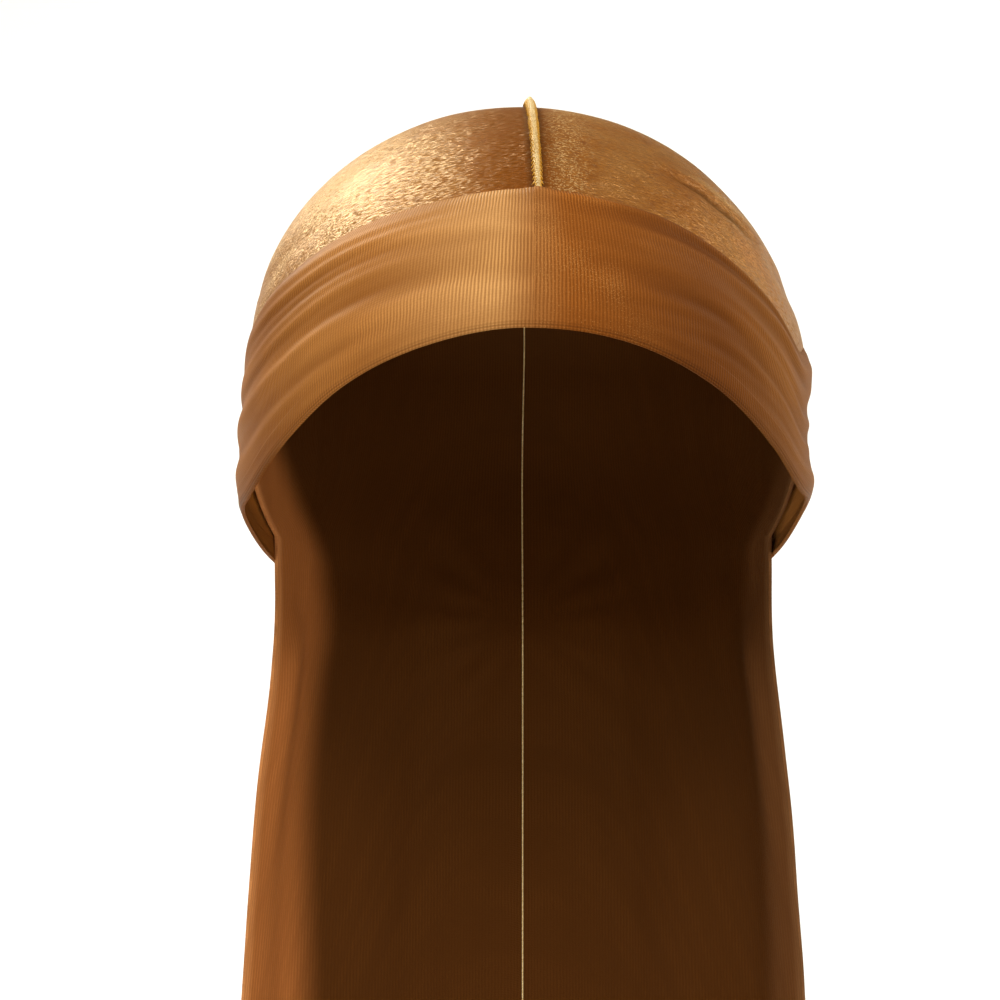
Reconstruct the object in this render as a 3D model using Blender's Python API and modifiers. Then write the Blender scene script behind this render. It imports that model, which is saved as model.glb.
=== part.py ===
"""A velvet durag in the shape that it has when worn on a head.

Units are metres. +Z is up, the face looks along -Y, and left is -X, the left side seen from the front.
The origin is the middle of the head, level with the eyes. An azimuth is 0 at the brow, 90 over an ear and
180 at the nape.
"""

import math

import bmesh
import bpy
from mathutils import Vector

# Head form, to the inside of the cloth: an ellipsoid over an upright body that narrows to the nape
WIDEST_Z = 0.044
DOME_RISE = 0.0820
FRONT_REACH = 0.0935
CROWN_LEAN = -0.0013
LEAN_FROM_Z = 0.045
LEAN_TO_Z = 0.100
BODY_COLUMNS = ("height", "half_width", "back_reach")
BODY_ROWS = (
    (WIDEST_Z, 0.0876, 0.0985),
    (0.010, 0.0884, 0.0965),
    (-0.020, 0.0882, 0.0880),
    (-0.050, 0.0882, 0.0780),
    (-0.100, 0.0946, 0.0768),
    (-0.170, 0.1013, 0.0795),
    (-0.250, 0.1062, 0.0845),
)

# Cloth
VELVET = 0.0012
TIE_CLOTH = 0.0012
PLY_GAP = 0.0005
SEAM_GAP = 0.0003

# Velvet panels: the seam runs from the brow over the crown and the nape to the hem of the cape
SEAM_BROW_Z = 0.070
SEAM_NAPE_Z = -0.050
HEM_CENTRE_Z = -0.246
HEM_EDGE_Z = -0.234
EDGE_FRONT_AZIMUTH = 78.0
EDGE_FRONT_Z = 0.030
EDGE_BACK_AZIMUTH = 112.0
EDGE_BACK_Z = -0.012
CROWN_ROWS = 30
CAPE_ROWS = 13
PANEL_COLUMNS = 13
LEVELLING_STARTS = 0.72

# How far the seam stands off the middle, from the brow, 0, to the nape, 1
SEAM_LEAN_COLUMNS = ("along", "lean")
SEAM_LEAN_ROWS = (
    (0.00, 0.0056),
    (0.09, 0.0050),
    (0.20, 0.0038),
    (0.32, 0.0026),
    (0.60, 0.0),
    (1.00, 0.0),
)

# Folds of the hanging cape, in degrees of azimuth
CAPE_FOLDS_START_Z = -0.030
NAPE_DEPTH_REACHED = 0.1
CAPE_FOLD_COLUMNS = ("azimuth", "spread", "nape_depth", "hem_depth")
CAPE_FOLD_ROWS = (
    (119.0, 4.0, -0.0024, 0.0000),
    (130.0, 7.0, 0.0012, 0.0050),
    (147.0, 8.0, -0.0006, -0.0045),
    (165.0, 9.0, 0.0004, 0.0045),
)

# How the cape's sides swing back as it hangs clear of the shoulders
SWING_FROM_Z = -0.055
SWING_TO_Z = -0.200
SWING_SHARE = 0.55

# Ties: the edges of each strap from the middle of the brow to the knot
STRAP_COLUMNS = ("azimuth", "low_left", "low_right", "top_left", "top_right")
STRAP_ROWS = (
    (-20.0, 0.0465, 0.0478, 0.0883, 0.0907),
    (0.0, 0.0517, 0.0517, 0.0938, 0.0938),
    (20.0, 0.0465, 0.0478, 0.0883, 0.0907),
    (40.0, 0.0338, 0.0354, 0.0796, 0.0820),
    (60.0, 0.0146, 0.0165, 0.0668, 0.0638),
    (75.0, 0.0015, 0.0035, 0.0578, 0.0480),
    (90.0, -0.0052, -0.0015, 0.0484, 0.0486),
    (110.0, -0.0190, -0.0170, 0.0370, 0.0345),
    (130.0, -0.0320, -0.0310, 0.0180, 0.0160),
    (150.0, -0.0440, -0.0430, -0.0060, -0.0060),
    (180.0, -0.0540, -0.0540, -0.0300, -0.0300),
)
MEET_LOW_AZIMUTH = 1.2
MEET_TOP_AZIMUTH = 3.1
STRAP_LIFT = VELVET + PLY_GAP
STRAP_LENGTHS = 38
STRAP_WIDTHS = 11
STRAP_END_AZIMUTH = 179.2

# Folds along a strap: place across it from 0, the lower edge, to 1, the upper edge, and heights
STRAP_FOLD_COLUMNS = ("at_brow", "at_ear", "at_nape", "spread", "brow_height", "ear_height", "nape_height")
STRAP_FOLD_ROWS = (
    (0.95, 0.90, 0.88, 0.075, 0.0006, 0.0009, 0.0010),
    (0.72, 0.70, 0.63, 0.080, 0.0004, 0.0020, 0.0014),
    (0.46, 0.47, 0.37, 0.080, 0.0004, 0.0018, 0.0014),
    (0.10, 0.16, 0.10, 0.090, 0.0003, 0.0010, 0.0010),
)
BROW_TO_EAR_AZIMUTHS = (5.0, 75.0)
EAR_TO_NAPE_AZIMUTHS = (95.0, 150.0)
PRESSED_FLAT_AZIMUTHS = (160.0, 172.0)
STRAP_FOLD_SHARES = {"left": 0.55, "right": 1.0}
EAR_PUSH = 0.0016
EAR_AZIMUTH = 88.0
EAR_SPREAD = 14.0
EAR_Z = 0.004
EAR_RISE = 0.014

# Raised seam
SEAM_WIDTH = 0.0032
SEAM_HEIGHT = 0.0035
SEAM_SECTION_STEPS = 8
SEAM_SQUARENESS = 0.7
SEAM_END_WIDTH = 0.6
SEAM_BAND_ANGLE = 40.8
SEAM_KNOT_Z = -0.0250
SEAM_ROW_MARGIN = 0.3
CAPE_SEAM_FIRST_ROW = 1

# Knot at the nape
KNOT_HALF = Vector((0.0170, 0.0110, 0.0145))
KNOT_Z = -0.042
KNOT_SQUARENESS = 0.72
KNOT_GROOVES = 3
KNOT_GROOVE_DEPTH = 0.07

# Hanging tails
TAIL_TOP_WIDTH = 0.0150
TAIL_END_WIDTH = 0.0620
TAIL_INNER_X = 0.0030
TAIL_COLUMNS = ("length", "inner_x", "slant", "fold_phase")
TAIL_LEFT = dict(zip(TAIL_COLUMNS, (0.222, 0.0060, 0.014, 0.3)))
TAIL_RIGHT = dict(zip(TAIL_COLUMNS, (0.208, 0.0090, 0.012, 1.4)))
TAIL_FOLDS = 1.6
TAIL_TOP_FOLD = 0.0010
TAIL_END_FOLD = 0.0055
TAIL_CLEARANCE = 0.0008
TAIL_SPREADS_BETWEEN = (-0.25, 0.75)
TAIL_SETTLED_AT = 0.35
TAIL_LENGTHS = 16
TAIL_WIDTHS = 8

SIDES = {"left": -1, "right": 1}
COLOURS = {
    "velvet": ((0.46, 0.24, 0.065, 1.0), 0.45),
    "tie_knit": ((0.33, 0.15, 0.045, 1.0), 0.8),
    "seam_thread": ((0.72, 0.42, 0.09, 1.0), 0.6),
}


def clear_scene():
    for obj in list(bpy.data.objects):
        bpy.data.objects.remove(obj)


def material(name):
    """The plain finish of one kind of cloth."""
    found = bpy.data.materials.get(name)
    if found:
        return found
    colour, roughness = COLOURS[name]
    made = bpy.data.materials.new(name)
    made.use_nodes = True
    shader = made.node_tree.nodes["Principled BSDF"]
    shader.inputs["Base Color"].default_value = colour
    shader.inputs["Roughness"].default_value = roughness
    shader.inputs["Metallic"].default_value = 0.0
    return made


def mix(a, b, share):
    return a + (b - a) * share


def ease(value, start=0.0, end=1.0):
    """0 before start and 1 after end, with a smooth rise between them."""
    share = min(max((value - start) / (end - start), 0.0), 1.0)
    return share * share * (3.0 - 2.0 * share)


def read(rows, columns, at, column):
    """One column of a table at any value of its first column, on a smooth curve through the rows."""
    index = columns.index(column)
    points = sorted((row[0], row[index]) for row in rows)
    at = min(max(at, points[0][0]), points[-1][0])
    slot = next(i for i in range(1, len(points)) if at <= points[i][0])

    def slope(i):
        low, high = points[max(i - 1, 0)], points[min(i + 1, len(points) - 1)]
        return (high[1] - low[1]) / (high[0] - low[0])

    (x0, y0), (x1, y1) = points[slot - 1], points[slot]
    span = x1 - x0
    t = (at - x0) / span
    start, end = slope(slot - 1) * span, slope(slot) * span
    cubic = 2.0 * (y0 - y1) + start + end
    square = 3.0 * (y1 - y0) - 2.0 * start - end
    return ((cubic * t + square) * t + start) * t + y0


def half_width_at(z):
    return read(BODY_ROWS, BODY_COLUMNS, min(z, WIDEST_Z), "half_width")


def reach_at(z, to_back):
    return read(BODY_ROWS, BODY_COLUMNS, min(z, WIDEST_Z), "back_reach") if to_back else FRONT_REACH


def off_head(point):
    """The direction straight away from the head form."""
    rise = max(point.z - WIDEST_Z, 0.0)
    reach = reach_at(point.z, point.y > 0.0)
    across = point.x / half_width_at(point.z) ** 2
    return Vector((across, point.y / reach**2, rise / DOME_RISE**2)).normalized()


def on_head(azimuth, z, lift=0.0):
    """The point of the head form at an azimuth in degrees and a height, lift metres off it."""
    turn = math.radians(azimuth)
    rise = max(z - WIDEST_Z, 0.0) / DOME_RISE
    share = math.sqrt(max(1.0 - rise * rise, 0.0))
    reach = reach_at(z, math.cos(turn) < 0.0)
    point = Vector((half_width_at(z) * share * math.sin(turn), -reach * share * math.cos(turn), z))
    return point + off_head(point) * lift


def leaned(point, side, gap):
    """A point of the right half moved to its side, with its part of the gap and the crown's lean."""
    lean = CROWN_LEAN * ease(point.z, LEAN_FROM_Z, LEAN_TO_Z)
    return Vector((side * (point.x + gap / 2.0) + lean, point.y, point.z))


def tilt_of(z):
    """The angle up from the widest level at which the head form reaches a height, in radians."""
    rise = (z - WIDEST_Z) / DOME_RISE
    return math.asin(min(rise, 1.0)) if rise > 0.0 else rise


def height_of(tilt):
    return WIDEST_Z + DOME_RISE * (math.sin(tilt) if tilt > 0.0 else tilt)


def direction(azimuth, tilt):
    turn = math.radians(azimuth)
    return Vector((math.cos(tilt) * math.sin(turn), -math.cos(tilt) * math.cos(turn), math.sin(tilt)))


def seam_sweep():
    """The angle that the seam passes over, from the brow to the nape, in radians."""
    return math.pi - tilt_of(SEAM_NAPE_Z) - tilt_of(SEAM_BROW_Z)


def seam_direction(side, along):
    """From the brow, 0, over the crown to the nape, 1, as seen from one side."""
    angle = tilt_of(SEAM_BROW_Z) + seam_sweep() * along
    lean = read(SEAM_LEAN_ROWS, SEAM_LEAN_COLUMNS, along, "lean") / half_width_at(WIDEST_Z)
    return Vector((side * lean, -math.cos(angle), math.sin(angle))).normalized()


def crown_place(side, along, across):
    """Azimuth and height on the crown: along from brow to nape, and across from the seam to the ear."""
    azimuth = mix(EDGE_FRONT_AZIMUTH, EDGE_BACK_AZIMUTH, along)
    tilt = mix(tilt_of(EDGE_FRONT_Z), tilt_of(EDGE_BACK_Z), along)
    seam = seam_direction(side, along)
    arc = seam.slerp(direction(azimuth, tilt), across)
    turn = math.degrees(math.atan2(arc.x, -arc.y))
    place = Vector((turn if turn > -90.0 else turn + 360.0, height_of(math.asin(arc.z))))
    seam_z = height_of(math.asin(seam.z))
    level = Vector((mix(180.0, azimuth, across), mix(seam_z, height_of(tilt), across)))
    share = ease(along, LEVELLING_STARTS, 1.0)
    if share > 0.0:
        place = place.lerp(level, share)
    return place


def cape_place(along, across):
    """Azimuth and height on the cape, from the nape, 0, to the hem, 1."""
    azimuth = mix(180.0, EDGE_BACK_AZIMUTH, across)
    top = mix(SEAM_NAPE_Z, EDGE_BACK_Z, across)
    hem = mix(HEM_CENTRE_Z, HEM_EDGE_Z, across * across)
    return Vector((azimuth, mix(top, hem, along)))


def cape_folds(azimuth, z):
    """How far the hanging cape stands off the head form."""
    share = ease(-z, -CAPE_FOLDS_START_Z, -HEM_EDGE_Z)
    total = 0.0
    for row in CAPE_FOLD_ROWS:
        fold = dict(zip(CAPE_FOLD_COLUMNS, row))
        near = math.exp(-(((azimuth - fold["azimuth"]) / fold["spread"]) ** 2))
        at_nape = fold["nape_depth"] * ease(share, 0.0, NAPE_DEPTH_REACHED)
        total += near * mix(at_nape, fold["hem_depth"], share)
    return total


def swung_back(point):
    """A point of the cape, moved back towards the plane of its middle."""
    share = SWING_SHARE * ease(-point.z, -SWING_FROM_Z, -SWING_TO_Z)
    back = max(reach_at(point.z, True), point.y)
    return Vector((point.x, mix(point.y, back, share), point.z))


def panel_point(side, across, down):
    """A point on the inside of a panel, from the seam to its outer edge and from the brow to the hem."""
    row = down * (CROWN_ROWS + CAPE_ROWS)
    if row <= CROWN_ROWS:
        azimuth, z = crown_place(side, row / CROWN_ROWS, across)
    else:
        azimuth, z = cape_place((row - CROWN_ROWS) / CAPE_ROWS, across)
    point = swung_back(on_head(azimuth, z, cape_folds(azimuth, z) if z < 0.0 else 0.0))
    return leaned(point, side, SEAM_GAP * (1.0 - across))


def strap_folds(azimuth, across):
    """The height of a strap's lengthways folds over the surface that it lies on."""
    to_ear = ease(azimuth, *BROW_TO_EAR_AZIMUTHS)
    to_nape = ease(azimuth, *EAR_TO_NAPE_AZIMUTHS)
    loose = 1.0 - ease(azimuth, *PRESSED_FLAT_AZIMUTHS)
    total = 0.0
    for row in STRAP_FOLD_ROWS:
        fold = dict(zip(STRAP_FOLD_COLUMNS, row))
        middle = mix(mix(fold["at_brow"], fold["at_ear"], to_ear), fold["at_nape"], to_nape)
        height = mix(mix(fold["brow_height"], fold["ear_height"], to_ear), fold["nape_height"], to_nape)
        total += height * math.exp(-(((across - middle) / fold["spread"]) ** 2))
    return total * loose


def ear_push(azimuth, z):
    """How far the top of the ear pushes a strap outwards."""
    turn = (azimuth - EAR_AZIMUTH) / EAR_SPREAD
    rise = (z - EAR_Z) / EAR_RISE
    return EAR_PUSH * math.exp(-(turn * turn + rise * rise))


def strap_point(side, along, across):
    """A point on the inside of a strap, from the middle of the brow to the nape."""
    azimuth = mix(side * mix(MEET_LOW_AZIMUTH, MEET_TOP_AZIMUTH, across), STRAP_END_AZIMUTH, along)
    name = "left" if side < 0 else "right"
    low = read(STRAP_ROWS, STRAP_COLUMNS, azimuth, "low_" + name)
    top = read(STRAP_ROWS, STRAP_COLUMNS, azimuth, "top_" + name)
    z = mix(low, top, across)
    over_cape = max(cape_folds(azimuth, z), 0.0) if z < 0.0 and azimuth > EDGE_BACK_AZIMUTH else 0.0
    folds = strap_folds(azimuth, across) * STRAP_FOLD_SHARES[name]
    point = on_head(azimuth, z, STRAP_LIFT + folds + ear_push(azimuth, z) + over_cape)
    return leaned(point, side, SEAM_GAP * (1.0 - along))


def tail_point(side, across, down):
    """A point on the inside of a tail, from its inner edge outwards and from the knot to its end."""
    tail = TAIL_LEFT if side < 0 else TAIL_RIGHT
    spread = ease(down, *TAIL_SPREADS_BETWEEN)
    x = mix(TAIL_INNER_X, tail["inner_x"], spread) + mix(TAIL_TOP_WIDTH, TAIL_END_WIDTH, spread) * across
    depth = mix(TAIL_TOP_FOLD, TAIL_END_FOLD, spread)
    fold = depth * (0.5 + 0.5 * math.cos(math.tau * TAIL_FOLDS * across + tail["fold_phase"]))
    up, out = knot_axes()
    top = knot_centre() - up * (KNOT_HALF.z + PLY_GAP)
    z = top.z - down * (tail["length"] + tail["slant"] * across)
    rests_z = max(z, HEM_EDGE_Z)
    azimuth = 180.0 - math.degrees(math.asin(x / half_width_at(rests_z)))
    cape = swung_back(on_head(azimuth, rests_z, VELVET + max(cape_folds(azimuth, rests_z), 0.0)))
    y = mix(top.y, cape.y + TAIL_CLEARANCE + fold, ease(down, 0.0, TAIL_SETTLED_AT))
    return Vector((side * x, y, z))


def knot_axes():
    """The knot's upward and outward directions: it lies flat on the straps where they meet at the nape."""
    top = on_head(180.0, KNOT_Z + KNOT_HALF.z)
    foot = on_head(180.0, KNOT_Z - KNOT_HALF.z)
    up = (top - foot).normalized()
    return up, Vector((0.0, up.z, -up.y))


def knot_centre():
    up, out = knot_axes()
    return on_head(180.0, KNOT_Z) + out * (STRAP_LIFT + TIE_CLOTH + PLY_GAP + KNOT_HALF.y)


def add_object(name, mesh, cloth, collection):
    obj = bpy.data.objects.new(name, mesh)
    obj.data.materials.append(material(cloth))
    collection.objects.link(obj)
    return obj


def mesh_from(bm, name):
    mesh = bpy.data.meshes.new(name)
    bm.to_mesh(mesh)
    bm.free()
    mesh.shade_smooth()
    return mesh


def cloth_wall(name, side, counts, place, thickness, cloth, collection):
    """A wall of cloth: a grid laid on the shape that place gives, and thickened outwards."""
    bm = bmesh.new()
    bmesh.ops.create_grid(bm, x_segments=counts[0], y_segments=counts[1], size=1.0)
    for vert in bm.verts:
        vert.co = place(side, (vert.co.x + 1.0) / 2.0, (vert.co.y + 1.0) / 2.0)
    if side < 0:
        bmesh.ops.reverse_faces(bm, faces=bm.faces)
    obj = add_object(name, mesh_from(bm, name), cloth, collection)
    wall = obj.modifiers.new("wall", "SOLIDIFY")
    wall.thickness = thickness
    wall.offset = 1.0
    wall.use_even_offset = True
    return obj


def add_panels(collection):
    counts = (PANEL_COLUMNS, CROWN_ROWS + CAPE_ROWS)
    for name, side in SIDES.items():
        cloth_wall("panel_" + name, side, counts, panel_point, VELVET, "velvet", collection)


def add_straps(collection):
    counts = (STRAP_LENGTHS, STRAP_WIDTHS)
    for name, side in SIDES.items():
        cloth_wall("strap_" + name, side, counts, strap_point, TIE_CLOTH, "tie_knit", collection)


def add_tails(collection):
    counts = (TAIL_WIDTHS, TAIL_LENGTHS)
    for name, side in SIDES.items():
        cloth_wall("tail_" + name, side, counts, tail_point, TIE_CLOTH, "tie_knit", collection)


def seam_rib(name, feet, collection):
    """The standing rib of an overlocked seam: a rounded section carried along the feet of the rib."""
    bm = bmesh.new()
    rings = []
    for index, (foot, up) in enumerate(feet):
        low = index in (0, len(feet) - 1)
        middle = foot + up * SEAM_HEIGHT / 2.0
        ring = []
        for step in range(SEAM_SECTION_STEPS):
            turn = math.tau * (step + 0.5) / SEAM_SECTION_STEPS
            across = math.copysign(abs(math.cos(turn)) ** SEAM_SQUARENESS, math.cos(turn))
            rise = math.copysign(abs(math.sin(turn)) ** SEAM_SQUARENESS, math.sin(turn))
            place = middle + up * rise * SEAM_HEIGHT / 2.0
            place.x += across * SEAM_WIDTH / 2.0 * (SEAM_END_WIDTH if low else 1.0)
            ring.append(bm.verts.new(place))
        rings.append(ring)
    for near, far in zip(rings, rings[1:]):
        for step in range(SEAM_SECTION_STEPS):
            follow = (step + 1) % SEAM_SECTION_STEPS
            bm.faces.new((near[step], near[follow], far[follow], far[step]))
    bm.faces.new(rings[0])
    bm.faces.new(rings[-1])
    bmesh.ops.recalc_face_normals(bm, faces=bm.faces)
    return add_object(name, mesh_from(bm, name), "seam_thread", collection)


def seam_feet(rows):
    """Where the rib stands on the panels, and its upward direction, along rows of the panels."""
    feet = []
    for row in rows:
        inside = panel_point(1, 0.0, row / (CROWN_ROWS + CAPE_ROWS)) - Vector((SEAM_GAP / 2.0, 0.0, 0.0))
        up = off_head(inside)
        feet.append((inside + up * (VELVET + PLY_GAP), up))
    return feet


def add_seams(collection):
    per_angle = CROWN_ROWS / seam_sweep()
    first = (math.radians(SEAM_BAND_ANGLE) - tilt_of(SEAM_BROW_Z)) * per_angle
    last = (math.pi - tilt_of(SEAM_KNOT_Z) - tilt_of(SEAM_BROW_Z)) * per_angle
    between = range(math.ceil(first + SEAM_ROW_MARGIN), math.ceil(last - SEAM_ROW_MARGIN))
    rows = [first, *between, last]
    seam_rib("crown_seam", seam_feet(rows), collection)
    rows = range(CROWN_ROWS + CAPE_SEAM_FIRST_ROW, CROWN_ROWS + CAPE_ROWS + 1)
    seam_rib("cape_seam", seam_feet(rows), collection)


def add_knot(collection):
    """A rounded block of tied cloth, with a few grooves across it."""
    centre = knot_centre()
    up, out = knot_axes()
    bm = bmesh.new()
    bmesh.ops.create_uvsphere(bm, u_segments=24, v_segments=14, radius=1.0)
    for vert in bm.verts:
        turn = math.atan2(vert.co.z, vert.co.y)
        groove = 1.0 - KNOT_GROOVE_DEPTH * (0.5 + 0.5 * math.cos(2.0 * KNOT_GROOVES * turn))
        square = Vector([math.copysign(abs(c) ** KNOT_SQUARENESS, c) for c in vert.co])
        across = Vector((square.x * KNOT_HALF.x, 0.0, 0.0))
        vert.co = centre + across + out * square.y * KNOT_HALF.y * groove + up * square.z * KNOT_HALF.z
    add_object("knot", mesh_from(bm, "knot"), "tie_knit", collection)


def main():
    clear_scene()
    durag = bpy.data.collections.new("durag")
    bpy.context.scene.collection.children.link(durag)
    add_panels(durag)
    add_straps(durag)
    add_seams(durag)
    add_knot(durag)
    add_tails(durag)


main()
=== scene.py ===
"""A velvet durag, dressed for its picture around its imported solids.

Units are metres. +Z is up, the face looks along -Y, and left is -X, the left side seen from the front.
Azimuths are in degrees: 0 at the brow, 90 over an ear and 180 at the nape.
"""

import functools
import math

import bmesh
import bpy
import numpy as np
from mathutils import Matrix, Vector, noise


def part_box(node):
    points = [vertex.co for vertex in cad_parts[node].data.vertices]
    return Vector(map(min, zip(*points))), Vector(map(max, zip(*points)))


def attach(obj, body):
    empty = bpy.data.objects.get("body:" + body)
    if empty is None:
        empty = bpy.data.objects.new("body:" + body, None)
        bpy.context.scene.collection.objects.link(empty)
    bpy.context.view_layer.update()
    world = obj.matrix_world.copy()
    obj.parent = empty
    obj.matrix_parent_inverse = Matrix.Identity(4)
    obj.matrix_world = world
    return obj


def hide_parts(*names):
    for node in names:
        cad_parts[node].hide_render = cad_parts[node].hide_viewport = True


bl_info = {
    "name": "Velvet durag",
    "version": (1, 0, 0),
    "blender": (4, 5, 0),
    "location": "View3D > Sidebar > Durag",
    "description": "Builds a velvet durag with its seams, ties and knot, and a studio to show it in",
    "category": "Object",
}

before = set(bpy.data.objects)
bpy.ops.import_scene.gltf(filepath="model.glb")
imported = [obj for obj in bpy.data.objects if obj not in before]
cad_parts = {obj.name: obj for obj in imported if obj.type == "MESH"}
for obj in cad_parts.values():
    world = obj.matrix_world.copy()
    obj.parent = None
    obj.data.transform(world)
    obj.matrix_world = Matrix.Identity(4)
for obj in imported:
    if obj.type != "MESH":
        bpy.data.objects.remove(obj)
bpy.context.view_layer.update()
SIDES = {"left": -1, "right": 1}

# Head form, to the inside of the cloth: an ellipsoid over an upright body that narrows to the nape
WIDEST_Z = 0.044
DOME_RISE = 0.0820
FRONT_REACH = 0.0935
CROWN_LEAN = -0.0013
LEAN_FROM_Z = 0.045
LEAN_TO_Z = 0.100
BODY_COLUMNS = ("height", "half_width", "back_reach")
BODY_ROWS = (
    (WIDEST_Z, 0.0876, 0.0985),
    (0.010, 0.0884, 0.0965),
    (-0.020, 0.0882, 0.0880),
    (-0.050, 0.0882, 0.0780),
    (-0.100, 0.0946, 0.0768),
    (-0.170, 0.1013, 0.0795),
    (-0.250, 0.1062, 0.0845),
)

# Velvet panels
SEAM_BROW_Z = 0.070
SEAM_NAPE_Z = -0.050
EDGE_FRONT = (78.0, 0.030)
EDGE_BACK = (112.0, -0.012)
HEM_CENTRE_Z = -0.246
HEM_EDGE_Z = -0.234
CROWN_SHARE = 0.68
LEVELLING_STARTS = 0.72
SEAM_GAP = 0.00002
SEAM_LEAN_COLUMNS = ("along", "lean")
SEAM_LEAN_ROWS = (
    (0.00, 0.0056),
    (0.09, 0.0050),
    (0.20, 0.0038),
    (0.32, 0.0027),
    (0.48, 0.0023),
    (0.80, 0.0),
    (1.00, 0.0),
)

# Creases of the crown, each a line through points seen from the front (x, z), with its depth and width
CREASES = {
    "left": (
        (((-0.0700, 0.0835), (-0.0765, 0.0760), (-0.0835, 0.0655)), 0.0006, 0.0016),
        (((-0.0655, 0.0840), (-0.0715, 0.0780)), 0.0004, 0.0014),
    ),
    "right": (
        (((0.0415, 0.1030), (0.0548, 0.0966), (0.0668, 0.0874), (0.0720, 0.0815)), 0.0012, 0.0014),
        (((0.0755, 0.0775), (0.0815, 0.0690), (0.0862, 0.0610)), 0.0007, 0.0014),
        (((0.0560, 0.0850), (0.0680, 0.0765), (0.0770, 0.0660)), 0.0004, 0.0030),
    ),
}
DEEP_CREASE = 0.0012

# The low ridge above each crease: its distance and its spread in widths of the crease, and its share
RIDGE_OFF = 1.9
RIDGE_SPREAD = 1.2
RIDGE_SHARE = 0.30

# Soft waves of the panels, in number to a metre
SOFT_WAVES = 38.0
SOFT_WAVE_HEIGHT = 0.0003

# Folds of the hanging cape: where each runs, its spread, and its height at three levels
CAPE_FOLD_COLUMNS = ("azimuth", "spread", "nape", "middle", "hem")
CAPE_FOLD_ROWS = (
    (112.5, 3.2, 0.0006, 0.0006, 0.0007),
    (119.0, 3.8, -0.0032, -0.0006, 0.0004),
    (130.0, 7.0, 0.0012, 0.0034, 0.0050),
    (147.0, 8.0, -0.0006, -0.0028, -0.0045),
    (157.0, 3.0, 0.0004, 0.0008, 0.0006),
    (165.0, 8.5, 0.0004, 0.0030, 0.0045),
    (173.5, 3.5, 0.0000, -0.0006, -0.0012),
)
CAPE_FOLDS_START_Z = -0.030
CAPE_FOLDS_FULL_Z = -0.055

# Small gathers that spread from the knot over the top of the cape, over a width in degrees and a height
GATHERS = 14.0
GATHER_HEIGHT = 0.0003
GATHER_WIDTH = 26.0
GATHER_RISE = 0.050
GATHER_FAN = 700.0

# How the cape's sides swing back as it hangs clear of the shoulders
SWING_FROM_Z = -0.055
SWING_TO_Z = -0.200
SWING_SHARE = 0.55

# Ties, from the middle of the brow to the knot: the edges of each strap
STRAP_COLUMNS = ("azimuth", "low", "top")
STRAP_EDGES = {
    "left": (
        (-20.0, 0.0465, 0.0902),
        (0.0, 0.0517, 0.0938),
        (20.0, 0.0465, 0.0902),
        (40.0, 0.0338, 0.0824),
        (60.0, 0.0146, 0.0692),
        (75.0, 0.0015, 0.0578),
        (90.0, -0.0052, 0.0484),
        (110.0, -0.0190, 0.0370),
        (130.0, -0.0320, 0.0180),
        (150.0, -0.0440, -0.0060),
        (180.0, -0.0540, -0.0300),
    ),
    "right": (
        (-20.0, 0.0478, 0.0907),
        (0.0, 0.0517, 0.0938),
        (20.0, 0.0478, 0.0907),
        (40.0, 0.0354, 0.0820),
        (60.0, 0.0165, 0.0638),
        (75.0, 0.0035, 0.0480),
        (90.0, -0.0015, 0.0486),
        (110.0, -0.0170, 0.0345),
        (130.0, -0.0310, 0.0160),
        (150.0, -0.0430, -0.0060),
        (180.0, -0.0540, -0.0300),
    ),
}
MEET_LOW_AZIMUTH = 1.2
MEET_TOP_AZIMUTH = 3.1
STRAP_END_AZIMUTH = 179.95
STRAP_INNER_LIFT = 0.0015
SEAM_LIFT = 0.0013
SEAM_BROW_AZIMUTH = 4.0
SEAM_BROW_SPREAD = 3.2
SEAM_BROW_SHARE = 0.20
SEAM_NAPE_SPREAD = 3.0
EDGE_ROLL = 0.05
ROLL_DEPTH = 0.0006
TUCK_DEPTH = 0.0007
TUCK_SHARE = 0.14

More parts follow.
